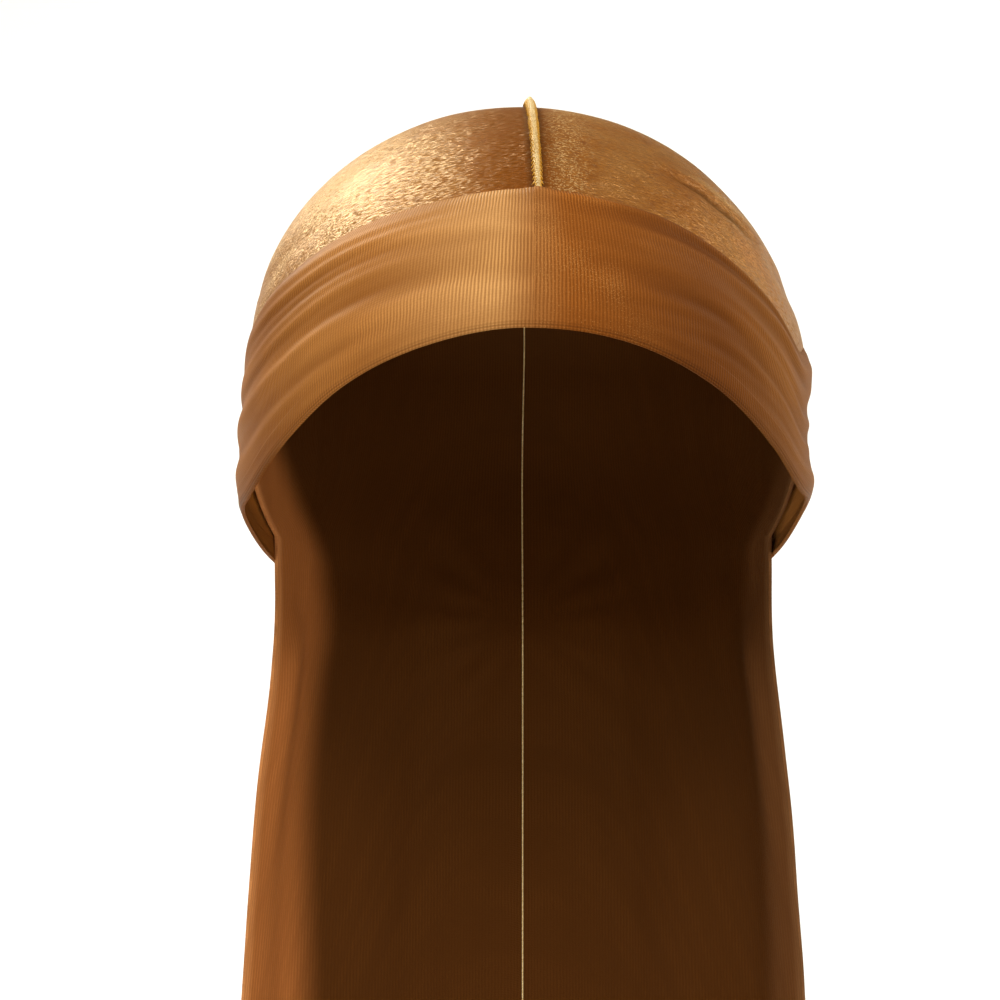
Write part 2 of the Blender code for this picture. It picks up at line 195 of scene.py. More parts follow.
# Folds along the straps: where each lies across the strap, from its lower edge 0 to its upper edge 1, and
# its height in millimetres, at a few azimuths. The two spreads are the slopes below and above its crest.
FOLD_AZIMUTHS = (0.0, 20.0, 40.0, 60.0, 76.0, 90.0, 120.0, 160.0)
FOLD_COLUMNS = ("azimuth", "place", "height")
STRAP_FOLDS = {
    "left": (
        {
            "place": (0.72, 0.78, 0.85, 0.87, 0.88, 0.88, 0.86, 0.85),
            "height": (0.70, 1.00, 1.20, 0.90, 0.40, 0.30, 0.80, 0.90),
            "spreads": (0.060, 0.150),
        },
        {
            "place": (0.58, 0.61, 0.63, 0.64, 0.68, 0.70, 0.68, 0.64),
            "height": (0.10, 0.45, 0.80, 0.90, 1.10, 1.20, 1.10, 1.00),
            "spreads": (0.065, 0.095),
        },
        {
            "place": (0.29, 0.33, 0.38, 0.45, 0.49, 0.50, 0.48, 0.45),
            "height": (0.35, 0.90, 1.40, 1.40, 1.60, 1.80, 1.30, 1.00),
            "spreads": (0.110, 0.075),
        },
        {
            "place": (0.16, 0.16, 0.17, 0.19, 0.20, 0.22, 0.20, 0.18),
            "height": (0.15, 0.30, 0.60, 0.70, 0.70, 0.90, 0.80, 0.80),
            "spreads": (0.075, 0.080),
        },
    ),
    "right": (
        {
            "place": (0.97, 0.97, 0.97, 0.97, 0.95, 0.93, 0.95, 0.97),
            "height": (0.35, 1.00, 1.10, 0.80, 0.30, 0.00, 0.20, 0.40),
            "spreads": (0.030, 0.030),
        },
        {
            "place": (0.84, 0.83, 0.81, 0.83, 0.83, 0.82, 0.86, 0.85),
            "height": (0.10, 0.50, 1.20, 1.40, 0.70, 0.00, 0.50, 0.80),
            "spreads": (0.050, 0.055),
        },
        {
            "place": (0.74, 0.73, 0.68, 0.63, 0.66, 0.74, 0.70, 0.62),
            "height": (0.10, 0.55, 1.25, 1.50, 1.30, 0.80, 1.20, 1.00),
            "spreads": (0.085, 0.080),
        },
        {
            "place": (0.60, 0.61, 0.57, 0.51, 0.50, 0.50, 0.50, 0.45),
            "height": (0.10, 0.35, 0.95, 1.10, 0.90, 1.00, 0.70, 0.70),
            "spreads": (0.070, 0.060),
        },
        {
            "place": (0.42, 0.40, 0.37, 0.34, 0.32, 0.32, 0.30, 0.28),
            "height": (0.05, 0.25, 0.60, 0.80, 0.70, 0.40, 0.70, 0.80),
            "spreads": (0.075, 0.065),
        },
        {
            "place": (0.17, 0.17, 0.17, 0.17, 0.15, 0.13, 0.13, 0.13),
            "height": (0.10, 0.20, 0.40, 0.50, 0.80, 1.40, 1.80, 0.70),
            "spreads": (0.085, 0.090),
        },
        {
            "place": (0.90, 0.90, 0.90, 0.90, 0.88, 0.86, 0.86, 0.86),
            "height": (0.00, 0.00, 0.00, 0.00, 0.40, 0.90, 0.70, 0.30),
            "spreads": (0.110, 0.060),
        },
    ),
}
PRESSED_FLAT_AZIMUTHS = (160.0, 172.0)
DEEP_FOLD = 0.0011
RIPPLES = 10.0
RIPPLE_HEIGHT = 0.00028
RIPPLES_START = (4.0, 45.0)
RIPPLES_FADE_TO = (0.75, 52.0, 85.0)
EAR_PUSH = 0.0017
EAR_AZIMUTH = 88.0
EAR_SPREAD = 14.0
EAR_Z = 0.004
EAR_RISE = 0.014

# The swell over the ear, under the top edge of the strap
SWELL_PUSH = {"left": 0.0, "right": 0.0022}
SWELL_AZIMUTH = 92.0
SWELL_SPREAD = 20.0
SWELL_Z = 0.0445
SWELL_RISE = 0.0155

# Raised seam: its rib and the threads that bind it
RIB_WIDTH = 0.0021
RIB_CREST_WIDTH = 0.0012
RIB_HEIGHT = 0.0028
RIB_FOOT = 0.0003
RIB_ROUNDING = 0.75
RIB_ROUGHNESS = 0.00012
POINTS_PER_TURN = 12
POINTS_PER_LOOP = 16
LOOP_TOP_ANGLE = 60.0
LOOP_SIDE_ANGLE = 104.0
LOOP_SHARE = 0.16
TURNS_PER_STITCH = 2
INNER_THREAD = 0.0005
INNER_STITCH = 0.0030
INNER_LIFT = 0.00010
INNER_DIP = 0.00035
POINTS_PER_INNER_STITCH = 6
SEAM_BAND_ANGLE = 35.5
SEAM_KNOT_Z = -0.0340
CAPE_SEAM_TOP_Z = -0.0505
TUCKED_HEIGHT = 0.30
TUCK_AT_BAND = 0.006
TUCK_AT_KNOT = 0.014

# Knot and tails
KNOT_Z = -0.042
KNOT_HALF = Vector((0.0170, 0.0110, 0.0145))
KNOT_LIFT = 0.0016
KNOT_BODY_SHARE = 0.86
KNOT_WAIST = 0.22
KNOT_WAIST_SPREAD = 0.42
KNOT_GATHERS = 9.0
KNOT_GATHER_DEPTH = 0.13
KNOT_GATHER_PHASES = (0.4, 1.7)
KNOT_ROUNDING = 0.85
KNOT_END_ROUNDING = 0.8
KNOT_SEGMENTS = (120, 80)
TURN_SHARE = 0.76
TURN_HALF_WIDTH = 0.0072
TURN_HALF_THICKNESS = 0.0016
TURN_LEAN = 0.0022
TURN_ROUNDING = 0.75
TURN_RING_ROUNDING = 0.80
TURN_PLEATS = 1.6
TURN_PLEAT_DEPTH = 0.35
TURN_BULGE = (0.10, 0.06)
TURN_SEGMENTS = (96, 36)
TAIL_TOP_WIDTH = 0.0112
TAIL_TUCK = 0.0085
TAIL_END_WIDTH = 0.0620
TAIL_TOP_X = 0.0022
TAIL_COLUMNS = ("length", "inner_x", "slant", "fold_phase")
TAILS = {
    "left": dict(zip(TAIL_COLUMNS, (0.222, 0.0060, 0.014, 0.3))),
    "right": dict(zip(TAIL_COLUMNS, (0.208, 0.0090, 0.012, 1.4))),
}
TAIL_FOLDS = 1.6
TAIL_TOP_FOLD = 0.0010
TAIL_END_FOLD = 0.0055
TAIL_PINCH = 0.0022
TAIL_PINCHES = 2.6
TAIL_PINCH_TO = 0.45
TAIL_CLEARANCE = 0.0014
CAPE_WALL = 0.0012
TAIL_SPREADS_BETWEEN = (-0.25, 0.75)
TAIL_SETTLED_AT = 0.35

# How far from the seam the velvet gets painted glints, and how far it gets painted shade
PILE_AT_SEAM = {"left": (0.005, 0.040), "right": (0.024, 0.010)}

# Crushed pile: its gloss, its larger patches, and how far the tufts lean
PILE_LOOK = {
    "IOR": 1.62,
    "Metallic": 0.27,
    "Specular Tint": (1.0, 0.92, 0.58, 1.0),
    "Sheen Weight": 0.03,
    "Sheen Roughness": 0.35,
    "Sheen Tint": (1.0, 0.66, 0.32, 1.0),
}
PILE_ROUGHNESS = (0.48, 0.38)
PILE_GLOSS = 0.5
PILE_TILT = (0.46, 0.84)
PATCH_SHARE = 0.28
STREAK_BEND = 0.0006
TUFT_OFFSETS = (0.0, 31.4, 67.8)

# Ribbed knit, with the factors of red, green and blue that shade its ribs and hem lines, paint shade into
# fold valleys and light onto fold crests, and paint a highlight along the inside's free edge
KNIT_LOOK = {
    "Roughness": 0.55,
    "IOR": 1.30,
    "Specular IOR Level": 0.30,
    "Specular Tint": (1.0, 0.62, 0.26, 1.0),
    "Sheen Weight": 0.03,
    "Sheen Roughness": 0.4,
    "Sheen Tint": (1.0, 0.62, 0.30, 1.0),
}
RIB_WOBBLE = 0.0005
RIB_MIDDLE = 0.36
KNIT_DARK = (0.58, 0.50, 0.42)
KNIT_LIGHT = (1.34, 1.40, 1.48)
VALLEY_PAINTED_SHADE = (0.80, 0.75, 0.68)
CREST_PAINTED_LIGHT = (1.11, 1.14, 1.18)
HEM_LINE_PITCH = 0.0009
HEM_LINE_DARK = (0.35, 0.28, 0.22)
INSIDE_EDGE_HIGHLIGHT = (1.55, 1.85, 2.40)
INSIDE_RIBS = 0.45
SPECK_CONTRAST = 14.0
# Painted sparkle highlights on the ties near the brow, and their share on each tie
PAINTED_SPARKLE = (0.78, 0.40, 0.12, 1.0)
PAINTED_SPARKLE_SHARE = {"left": 0.08, "right": 0.42}

# How far from the brow the painted light and shade of a tie drift, and how far the knot's and the tails'
# tone does
TIE_REACH = 0.12
KNOT_REACH = 0.1

# Sewing thread
THREAD_LOOK = {"Sheen Weight": 0.05, "Sheen Tint": (1.0, 0.85, 0.5, 1.0)}
THREAD_DARK = (0.66, 0.56, 0.42)

# How far from the cape's front edge its inside keeps the panel's painted tone, lit on the left and shaded
# on the right, before painted deep shade
LIT_REACH = {"left": 0.036, "right": 0.020}

# Rounding of the cloth's cut edges, as a share of its thickness, where they are sharper than an angle
CUT_ROUNDING = 0.35
CUT_ANGLE = math.radians(50.0)

# Cells of each sheet of cloth, with the share by which a panel's rows are closer at the brow
PANEL_COUNTS = (130, 310)
ROWS_CLOSER = 0.42
STRAP_COUNTS = (230, 72)
TAIL_COUNTS = (56, 160)

# Camera: level with the eyes, 1.3 m from the head
CAMERA_PLACE = Vector((-0.0078, -1.3, 0.0))
CAMERA_LENS = 144.0
FLOOR_BELOW = 0.012

# Studio: the sweep runs from its front edge to its back wall, with a bend between them
SWEEP_FRONT_Y = -3.5
SWEEP_BACK_Y = 1.5
SWEEP_BEND = 0.8
SWEEP_HALF_WIDTH = 1.6
SWEEP_WALL = 0.02
SWEEP_BENDS_BETWEEN = (0.4, 0.8)
SWEEP_WHITES = ((0.90, 0.90, 0.90, 1.0), (0.93, 0.93, 0.93, 1.0))
AIR_COLOUR = (1.0, 0.90, 0.74, 1.0)
AIR_STRENGTH = 0.17


def mix(a, b, share):
    return a + (b - a) * share


def ease(value, start=0.0, end=1.0):
    """0 before start and 1 after end, with a smooth rise between them."""
    share = min(max((value - start) / (end - start), 0.0), 1.0)
    return share * share * (3.0 - 2.0 * share)


def hump(off):
    """1 in the middle, and about a third at a distance of 1 on both sides."""
    return math.exp(-(off**2))


@functools.lru_cache(maxsize=None)
def column_of(rows, index):
    return sorted((row[0], row[index]) for row in rows)


def read(rows, columns, at, column):
    """One column of a table at any value of its first column, on a smooth curve through the rows."""
    points = column_of(rows, columns.index(column))
    at = min(max(at, points[0][0]), points[-1][0])
    slot = next(i for i in range(1, len(points)) if at <= points[i][0])

    def slope(i):
        low, high = points[max(i - 1, 0)], points[min(i + 1, len(points) - 1)]
        return (high[1] - low[1]) / (high[0] - low[0])

    (x0, y0), (x1, y1) = points[slot - 1], points[slot]
    span = x1 - x0
    t = (at - x0) / span
    start, end = slope(slot - 1) * span, slope(slot) * span
    cubic = 2.0 * (y0 - y1) + start + end
    square = 3.0 * (y1 - y0) - 2.0 * start - end
    return ((cubic * t + square) * t + start) * t + y0


def half_width_at(z):
    return read(BODY_ROWS, BODY_COLUMNS, min(z, WIDEST_Z), "half_width")


def reach_at(z, to_back):
    return read(BODY_ROWS, BODY_COLUMNS, min(z, WIDEST_Z), "back_reach") if to_back else FRONT_REACH


def off_head(point):
    """The direction straight away from the head form."""
    rise = max(point.z - WIDEST_Z, 0.0)
    reach = reach_at(point.z, point.y > 0.0)
    across = point.x / half_width_at(point.z) ** 2
    return Vector((across, point.y / reach**2, rise / DOME_RISE**2)).normalized()


def on_head(azimuth, z, lift=0.0):
    """The point of the head form at an azimuth and a height, lift metres off it."""
    turn = math.radians(azimuth)
    rise = max(z - WIDEST_Z, 0.0) / DOME_RISE
    share = math.sqrt(max(1.0 - rise * rise, 0.0))
    reach = reach_at(z, math.cos(turn) < 0.0)
    point = Vector((half_width_at(z) * share * math.sin(turn), -reach * share * math.cos(turn), z))
    return point + off_head(point) * lift


def leaned(point, side, gap=0.0):
    """A point of the right half moved to its side, with its part of the gap and the crown's lean."""
    lean = CROWN_LEAN * ease(point.z, LEAN_FROM_Z, LEAN_TO_Z)
    return Vector((side * (point.x + gap / 2.0) + lean, point.y, point.z))


def tilt_of(z):
    """The angle up from the widest level at which the head form reaches a height, in radians."""
    rise = (z - WIDEST_Z) / DOME_RISE
    return math.asin(min(rise, 1.0)) if rise > 0.0 else rise


def height_of(tilt):
    return WIDEST_Z + DOME_RISE * (math.sin(tilt) if tilt > 0.0 else tilt)


def direction(azimuth, tilt):
    turn = math.radians(azimuth)
    return Vector((math.cos(tilt) * math.sin(turn), -math.cos(tilt) * math.cos(turn), math.sin(tilt)))


def seam_sweep():
    """The angle that the seam passes over, from the brow to the nape, in radians."""
    return math.pi - tilt_of(SEAM_NAPE_Z) - tilt_of(SEAM_BROW_Z)


def seam_direction(side, along):
    """From the brow, 0, over the crown to the nape, 1, as seen from one side."""
    angle = tilt_of(SEAM_BROW_Z) + seam_sweep() * along
    lean = read(SEAM_LEAN_ROWS, SEAM_LEAN_COLUMNS, along, "lean") / half_width_at(WIDEST_Z)
    return Vector((side * lean, -math.cos(angle), math.sin(angle))).normalized()


def crown_place(side, along, across):
    """Azimuth and height on the crown: along from brow to nape, and across from the seam to the ear."""
    azimuth = mix(EDGE_FRONT[0], EDGE_BACK[0], along)
    tilt = mix(tilt_of(EDGE_FRONT[1]), tilt_of(EDGE_BACK[1]), along)
    seam = seam_direction(side, along)
    arc = seam.slerp(direction(azimuth, tilt), across)
    turn = math.degrees(math.atan2(arc.x, -arc.y))
    place = Vector((turn if turn > -90.0 else turn + 360.0, height_of(math.asin(arc.z))))
    level_z = mix(height_of(math.asin(seam.z)), height_of(tilt), across)
    level = Vector((mix(180.0, azimuth, across), level_z))
    share = ease(along, LEVELLING_STARTS, 1.0)
    if share > 0.0:
        place = place.lerp(level, share)
    return place


def cape_place(along, across):
    """Azimuth and height on the cape, from the nape, 0, to the hem, 1."""
    top = mix(SEAM_NAPE_Z, EDGE_BACK[1], across)
    hem = mix(HEM_CENTRE_Z, HEM_EDGE_Z, across * across)
    return Vector((mix(180.0, EDGE_BACK[0], across), mix(top, hem, along)))


def cape_folds(azimuth, z):
    """How far the hanging cape stands off the head form."""
    share = ease(-z, -CAPE_FOLDS_START_Z, -HEM_EDGE_Z)
    starts = ease(-z, -CAPE_FOLDS_START_Z, -CAPE_FOLDS_FULL_Z)
    total = 0.0
    for row in CAPE_FOLD_ROWS:
        fold = dict(zip(CAPE_FOLD_COLUMNS, row))
        near = hump((azimuth - fold["azimuth"]) / fold["spread"])
        upper = mix(fold["nape"] * starts, fold["middle"], min(2.0 * share, 1.0))
        total += near * mix(upper, fold["hem"], max(2.0 * share - 1.0, 0.0))
    return total


def swung_back(point):
    """A point of the cape, moved back towards the plane of its middle."""
    share = SWING_SHARE * ease(-point.z, -SWING_FROM_Z, -SWING_TO_Z)
    back = max(reach_at(point.z, True), point.y)
    return Vector((point.x, mix(point.y, back, share), point.z))


def nape_gathers(azimuth, z):
    off_knot = math.hypot((180.0 - azimuth) / GATHER_WIDTH, (z - KNOT_Z) / GATHER_RISE)
    bearing = math.atan2(180.0 - azimuth, (KNOT_Z - z) * GATHER_FAN)
    fade = math.exp(-off_knot * off_knot)
    return GATHER_HEIGHT * math.cos(GATHERS * bearing) * fade * ease(off_knot, 0.15, 0.7)


def distance_to_line(points, x, z):
    """Distance from a line through points, positive on its upper side, and how far along it that is."""
    best = (1.0, 1.0, 0.0)
    for index, (start, end) in enumerate(zip(points, points[1:])):
        step = Vector(end) - Vector(start)
        off = Vector((x, z)) - Vector(start)
        along = min(max(off.dot(step) / step.length_squared, 0.0), 1.0)
        gap = (off - step * along).length
        upper = 1.0 if step.x * off.y - step.y * off.x > 0.0 else -1.0
        if gap < best[0]:
            best = (gap, upper, (index + along) / (len(points) - 1))
    return best[0] * best[1], best[2]


def crown_creases(name, point):
    """The valley of each crease, with the low ridge that rises on its upper side."""
    if point.y > 0.01:
        return 0.0
    total = 0.0
    for line, depth, width in CREASES[name]:
        off, along = distance_to_line(line, point.x, point.z)
        if abs(off) > 5.0 * width:
            continue
        side = off if name == "right" else -off
        fade = math.sin(math.pi * min(max(0.06 + 0.88 * along, 0.0), 1.0)) ** 0.7
        valley = hump(off / width)
        ridge = hump((side - RIDGE_OFF * width) / (RIDGE_SPREAD * width))
        total += depth * fade * (RIDGE_SHARE * ridge - valley)
    return total


def row_place(row):
    """The way down a panel, brow to hem, at a share of its rows."""
    return row * (1.0 - ROWS_CLOSER + ROWS_CLOSER * row)


def panel_spot(name, across, down):
    """Azimuth and height of a spot on a panel, from the seam to its edge and from the brow to the hem."""
    if down <= CROWN_SHARE:
        return crown_place(SIDES[name], down / CROWN_SHARE, across)
    return cape_place((down - CROWN_SHARE) / (1.0 - CROWN_SHARE), across)


def panel_rise(name, across, down):
    """The depth of the creases of a panel: 0 where the cloth is smooth, and -1 in a deep crease."""
    azimuth, z = panel_spot(name, across, down)
    return crown_creases(name, leaned(on_head(azimuth, z), SIDES[name])) / DEEP_CREASE


def panel_point(name, thickness, across, down):
    """A point on the outside of a velvet panel, from the seam to its edge and from the brow to the hem."""
    side = SIDES[name]
    azimuth, z = panel_spot(name, across, down)
    lift = thickness
    if z < 0.0:
        lift += cape_folds(azimuth, z) + nape_gathers(azimuth, z)
    flat = leaned(on_head(azimuth, z), side)
    lift += crown_creases(name, flat) + swell_over_ear(name, azimuth, z)
    soft = noise.noise(flat * SOFT_WAVES + Vector((5.0 * side, 0.0, 0.0)))
    lift += SOFT_WAVE_HEIGHT * soft * ease(across, 0.0, 0.2)
    point = swung_back(on_head(azimuth, z, lift))
    return leaned(point, side, SEAM_GAP * (1.0 - across))


def fold_value(fold, key, azimuth):
    rows = tuple(zip(FOLD_AZIMUTHS, fold["place"], fold["height"]))
    return read(rows, FOLD_COLUMNS, azimuth, key)


def strap_folds(name, azimuth, across):
    """The height of a strap's lengthways folds over the surface that it lies on."""
    loose = 1.0 - ease(azimuth, *PRESSED_FLAT_AZIMUTHS)
    total = 0.0
    for fold in STRAP_FOLDS[name]:
        off = across - fold_value(fold, "place", azimuth)
        spread = fold["spreads"][0] if off < 0.0 else fold["spreads"][1]
        total += fold_value(fold, "height", azimuth) * hump(off / spread)
    return 0.001 * total * loose


def fine_ripples(name, azimuth, across):
    """Narrow ripples that run along a strap, between its folds."""
    drift = noise.noise(Vector((azimuth * 0.016, across * 1.6, 3.0 * SIDES[name])))
    strong = 0.5 + 0.5 * noise.noise(Vector((azimuth * 0.03, across * 4.0, 9.0 + SIDES[name])))
    wave = math.sin(math.tau * (RIPPLES * across + 1.6 * drift))
    share, start, end = RIPPLES_FADE_TO
    fade = 1.0 - share * ease(azimuth, start, end)
    return RIPPLE_HEIGHT * wave * strong * ease(azimuth, *RIPPLES_START) * fade


def ear_push(azimuth, z):
    """How far the top of the ear pushes a strap outwards."""
    turn = (azimuth - EAR_AZIMUTH) / EAR_SPREAD
    rise = (z - EAR_Z) / EAR_RISE
    return EAR_PUSH * math.exp(-(turn * turn + rise * rise))


def swell_over_ear(name, azimuth, z):
    turn = (azimuth - SWELL_AZIMUTH) / SWELL_SPREAD
    rise = (z - SWELL_Z) / SWELL_RISE
    return SWELL_PUSH[name] * math.exp(-(turn * turn + rise * rise))


def strap_azimuth(name, along, across):
    """From the line where the two ties meet at the brow, 0, to the nape, 1."""
    start = SIDES[name] * mix(MEET_LOW_AZIMUTH, MEET_TOP_AZIMUTH, across)
    return mix(start, STRAP_END_AZIMUTH, along)


def strap_rise(name, along, across):
    """The height of a strap's folds, from the flat cloth, 0, to the crest of a deep fold, 1."""
    azimuth = strap_azimuth(name, along, across)
    return min((strap_folds(name, azimuth, across) + fine_ripples(name, azimuth, across)) / DEEP_FOLD, 1.0)


def over_seam(signed, across):
    """How far a strap is lifted by the seam that runs under it, at the brow and at the nape."""
    off_seam = (signed - SEAM_BROW_AZIMUTH) / SEAM_BROW_SPREAD
    off_top = (1.0 - across) / SEAM_BROW_SHARE
    brow = SEAM_LIFT * math.exp(-(off_seam**2) - off_top**2)
    nape = SEAM_LIFT * hump((180.0 - abs(signed)) / SEAM_NAPE_SPREAD)
    return brow + nape


def strap_point(name, thickness, along, across):
    """A point on the outside of a strap, from the middle of the brow to the nape."""
    side = SIDES[name]
    azimuth = strap_azimuth(name, along, across)
    low = read(STRAP_EDGES[name], STRAP_COLUMNS, azimuth, "low")
    top = read(STRAP_EDGES[name], STRAP_COLUMNS, azimuth, "top")
    z = mix(low, top, across)
    lift = STRAP_INNER_LIFT + thickness + strap_folds(name, azimuth, across) + ear_push(azimuth, z)
    lift += over_seam(side * azimuth, across) + swell_over_ear(name, azimuth, z)
    if z < 0.0 and azimuth > EDGE_BACK[0]:
        lift += max(cape_folds(azimuth, z), 0.0)
    lift += fine_ripples(name, azimuth, across)
    to_edge = min(across, 1.0 - across)
    lift -= ROLL_DEPTH * (1.0 - ease(to_edge, 0.0, EDGE_ROLL))
    near_ear = hump((azimuth - EAR_AZIMUTH) / (2.0 * EAR_SPREAD))
    lift -= TUCK_DEPTH * near_ear * (1.0 - ease(1.0 - across, 0.0, TUCK_SHARE))
    return leaned(on_head(azimuth, z, lift), side, SEAM_GAP * (1.0 - along))


def knot_axes():
    """The knot's upward and outward directions: it lies flat on the straps where they meet at the nape."""
    top = on_head(180.0, KNOT_Z + KNOT_HALF.z)
    foot = on_head(180.0, KNOT_Z - KNOT_HALF.z)
    up = (top - foot).normalized()
    return up, Vector((0.0, up.z, -up.y))


def knot_spot(x, out, up):
    """A point of the knot, by its distances from the middle of its back."""
    upward, outward = knot_axes()
    back = on_head(180.0, KNOT_Z) + outward * (STRAP_INNER_LIFT + KNOT_LIFT)
    return back + Vector((x, 0.0, 0.0)) + outward * out + upward * up


def tail_point(name, thickness, across, down):
    """A point on the outside of a tail, from its inner edge outwards and from the knot to its end."""
    tail = TAILS[name]
    spread = ease(down, *TAIL_SPREADS_BETWEEN)
    x = mix(TAIL_TOP_X, tail["inner_x"], spread) + mix(TAIL_TOP_WIDTH, TAIL_END_WIDTH, spread) * across
    depth = mix(TAIL_TOP_FOLD, TAIL_END_FOLD, spread)
    turn = math.tau * TAIL_FOLDS * across + tail["fold_phase"] + 0.9 * down
    fold = depth * (0.5 + 0.5 * math.cos(turn))
    pinch = TAIL_PINCH * (1.0 - ease(down, 0.0, TAIL_PINCH_TO))
    pinch *= math.cos(math.tau * TAIL_PINCHES * across + 1.0)
    top = knot_spot(0.0, KNOT_HALF.y, -KNOT_HALF.z)
    z = top.z + TAIL_TUCK - down * (tail["length"] + TAIL_TUCK + tail["slant"] * across)
    rests_z = max(z, HEM_EDGE_Z)
    azimuth = 180.0 - math.degrees(math.asin(x / half_width_at(rests_z)))
    lift = CAPE_WALL + max(cape_folds(azimuth, rests_z), 0.0)
    cape = swung_back(on_head(azimuth, rests_z, lift))
    settled = ease(down, 0.0, TAIL_SETTLED_AT)
    y = mix(top.y + pinch, cape.y + TAIL_CLEARANCE + thickness + fold, settled)
    return Vector((SIDES[name] * x, y, z))


def grid_lengths(points, axis):
    """Distances along one axis of a grid of points, from its first row or column."""
    steps = np.linalg.norm(np.diff(points, axis=axis), axis=2)
    start = np.zeros_like(np.take(steps, [0], axis=axis))
    return np.cumsum(np.concatenate((start, steps), axis=axis), axis=axis)


def cloth_sheet(name, counts, place, turned, along_first=True, even=False, measured=("end",), rise=None):
    """A grid laid on the shape that place gives, with its UV map in metres of cloth.

    The cloth's first direction runs with the grid's first one, or else with its second. An even sheet keeps
    its ribs square to its middle line. The distance to the nearest of the measured edges is kept as "hem",
    and the height of the folds as "rise".
    """
    bm = bmesh.new()
    layer = bm.loops.layers.uv.new("cloth")
    hem = bm.verts.layers.float.new("hem")
    fold = bm.verts.layers.float.new("rise")
    bmesh.ops.create_grid(bm, x_segments=counts[0], y_segments=counts[1], size=1.0)
    points = np.zeros((counts[1] + 1, counts[0] + 1, 3))
    cells = {}
    for vert in bm.verts:
        first, second = (vert.co.x + 1.0) / 2.0, (vert.co.y + 1.0) / 2.0
        cells[vert] = (round(second * counts[1]), round(first * counts[0]))
        vert.co = place(first, second)
        points[cells[vert]] = vert.co
        vert[fold] = rise(first, second) if rise else 0.0
    u = grid_lengths(points, 1)
    v = grid_lengths(points, 0)
    to_edge = {"start": u, "end": u[:, -1:] - u, "top": v, "bottom": v[-1:, :] - v}
    nearest = np.minimum.reduce([gap for edge, gap in to_edge.items() if edge in measured])
    if even:
        u = np.repeat(u[counts[1] // 2][None, :], counts[1] + 1, axis=0)
    if not along_first:
        u, v = v, u
    if turned:
        bmesh.ops.reverse_faces(bm, faces=bm.faces)
    for vert, cell in cells.items():
        vert[hem] = nearest[cell]
    for face in bm.faces:
        for loop in face.loops:
            cell = cells[loop.vert]
            loop[layer].uv = (u[cell], v[cell])
    return finished(bm, name)


def added(name, data):
    """A new object, linked to the scene."""
    obj = bpy.data.objects.new(name, data)
    bpy.context.scene.collection.objects.link(obj)
    return obj


def finished(bm, name):
    mesh = bpy.data.meshes.new(name)
    bm.to_mesh(mesh)
    bm.free()
    mesh.shade_smooth()
    return added(name, mesh)


def give_wall(obj, thickness, second_face):
    """Cloth thickness behind the outer face, with rounded cut edges."""
    wall = obj.modifiers.new("wall", "SOLIDIFY")
    wall.thickness = thickness
    wall.offset = -1.0
    wall.material_offset = 1 if second_face else 0
    wall.material_offset_rim = 1 if second_face else 0
    edge = obj.modifiers.new("edge", "BEVEL")
    edge.limit_method = "ANGLE"
    edge.angle_limit = CUT_ANGLE
    edge.width = CUT_ROUNDING * thickness
    edge.segments = 2


def dress(obj, materials, slot, *replaced):
    """A piece gets its materials, its body and the solids that it stands for; slot is not used."""
    for material in materials:
        obj.data.materials.append(material)
    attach(obj, "root")
    for node in replaced:
        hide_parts(node)


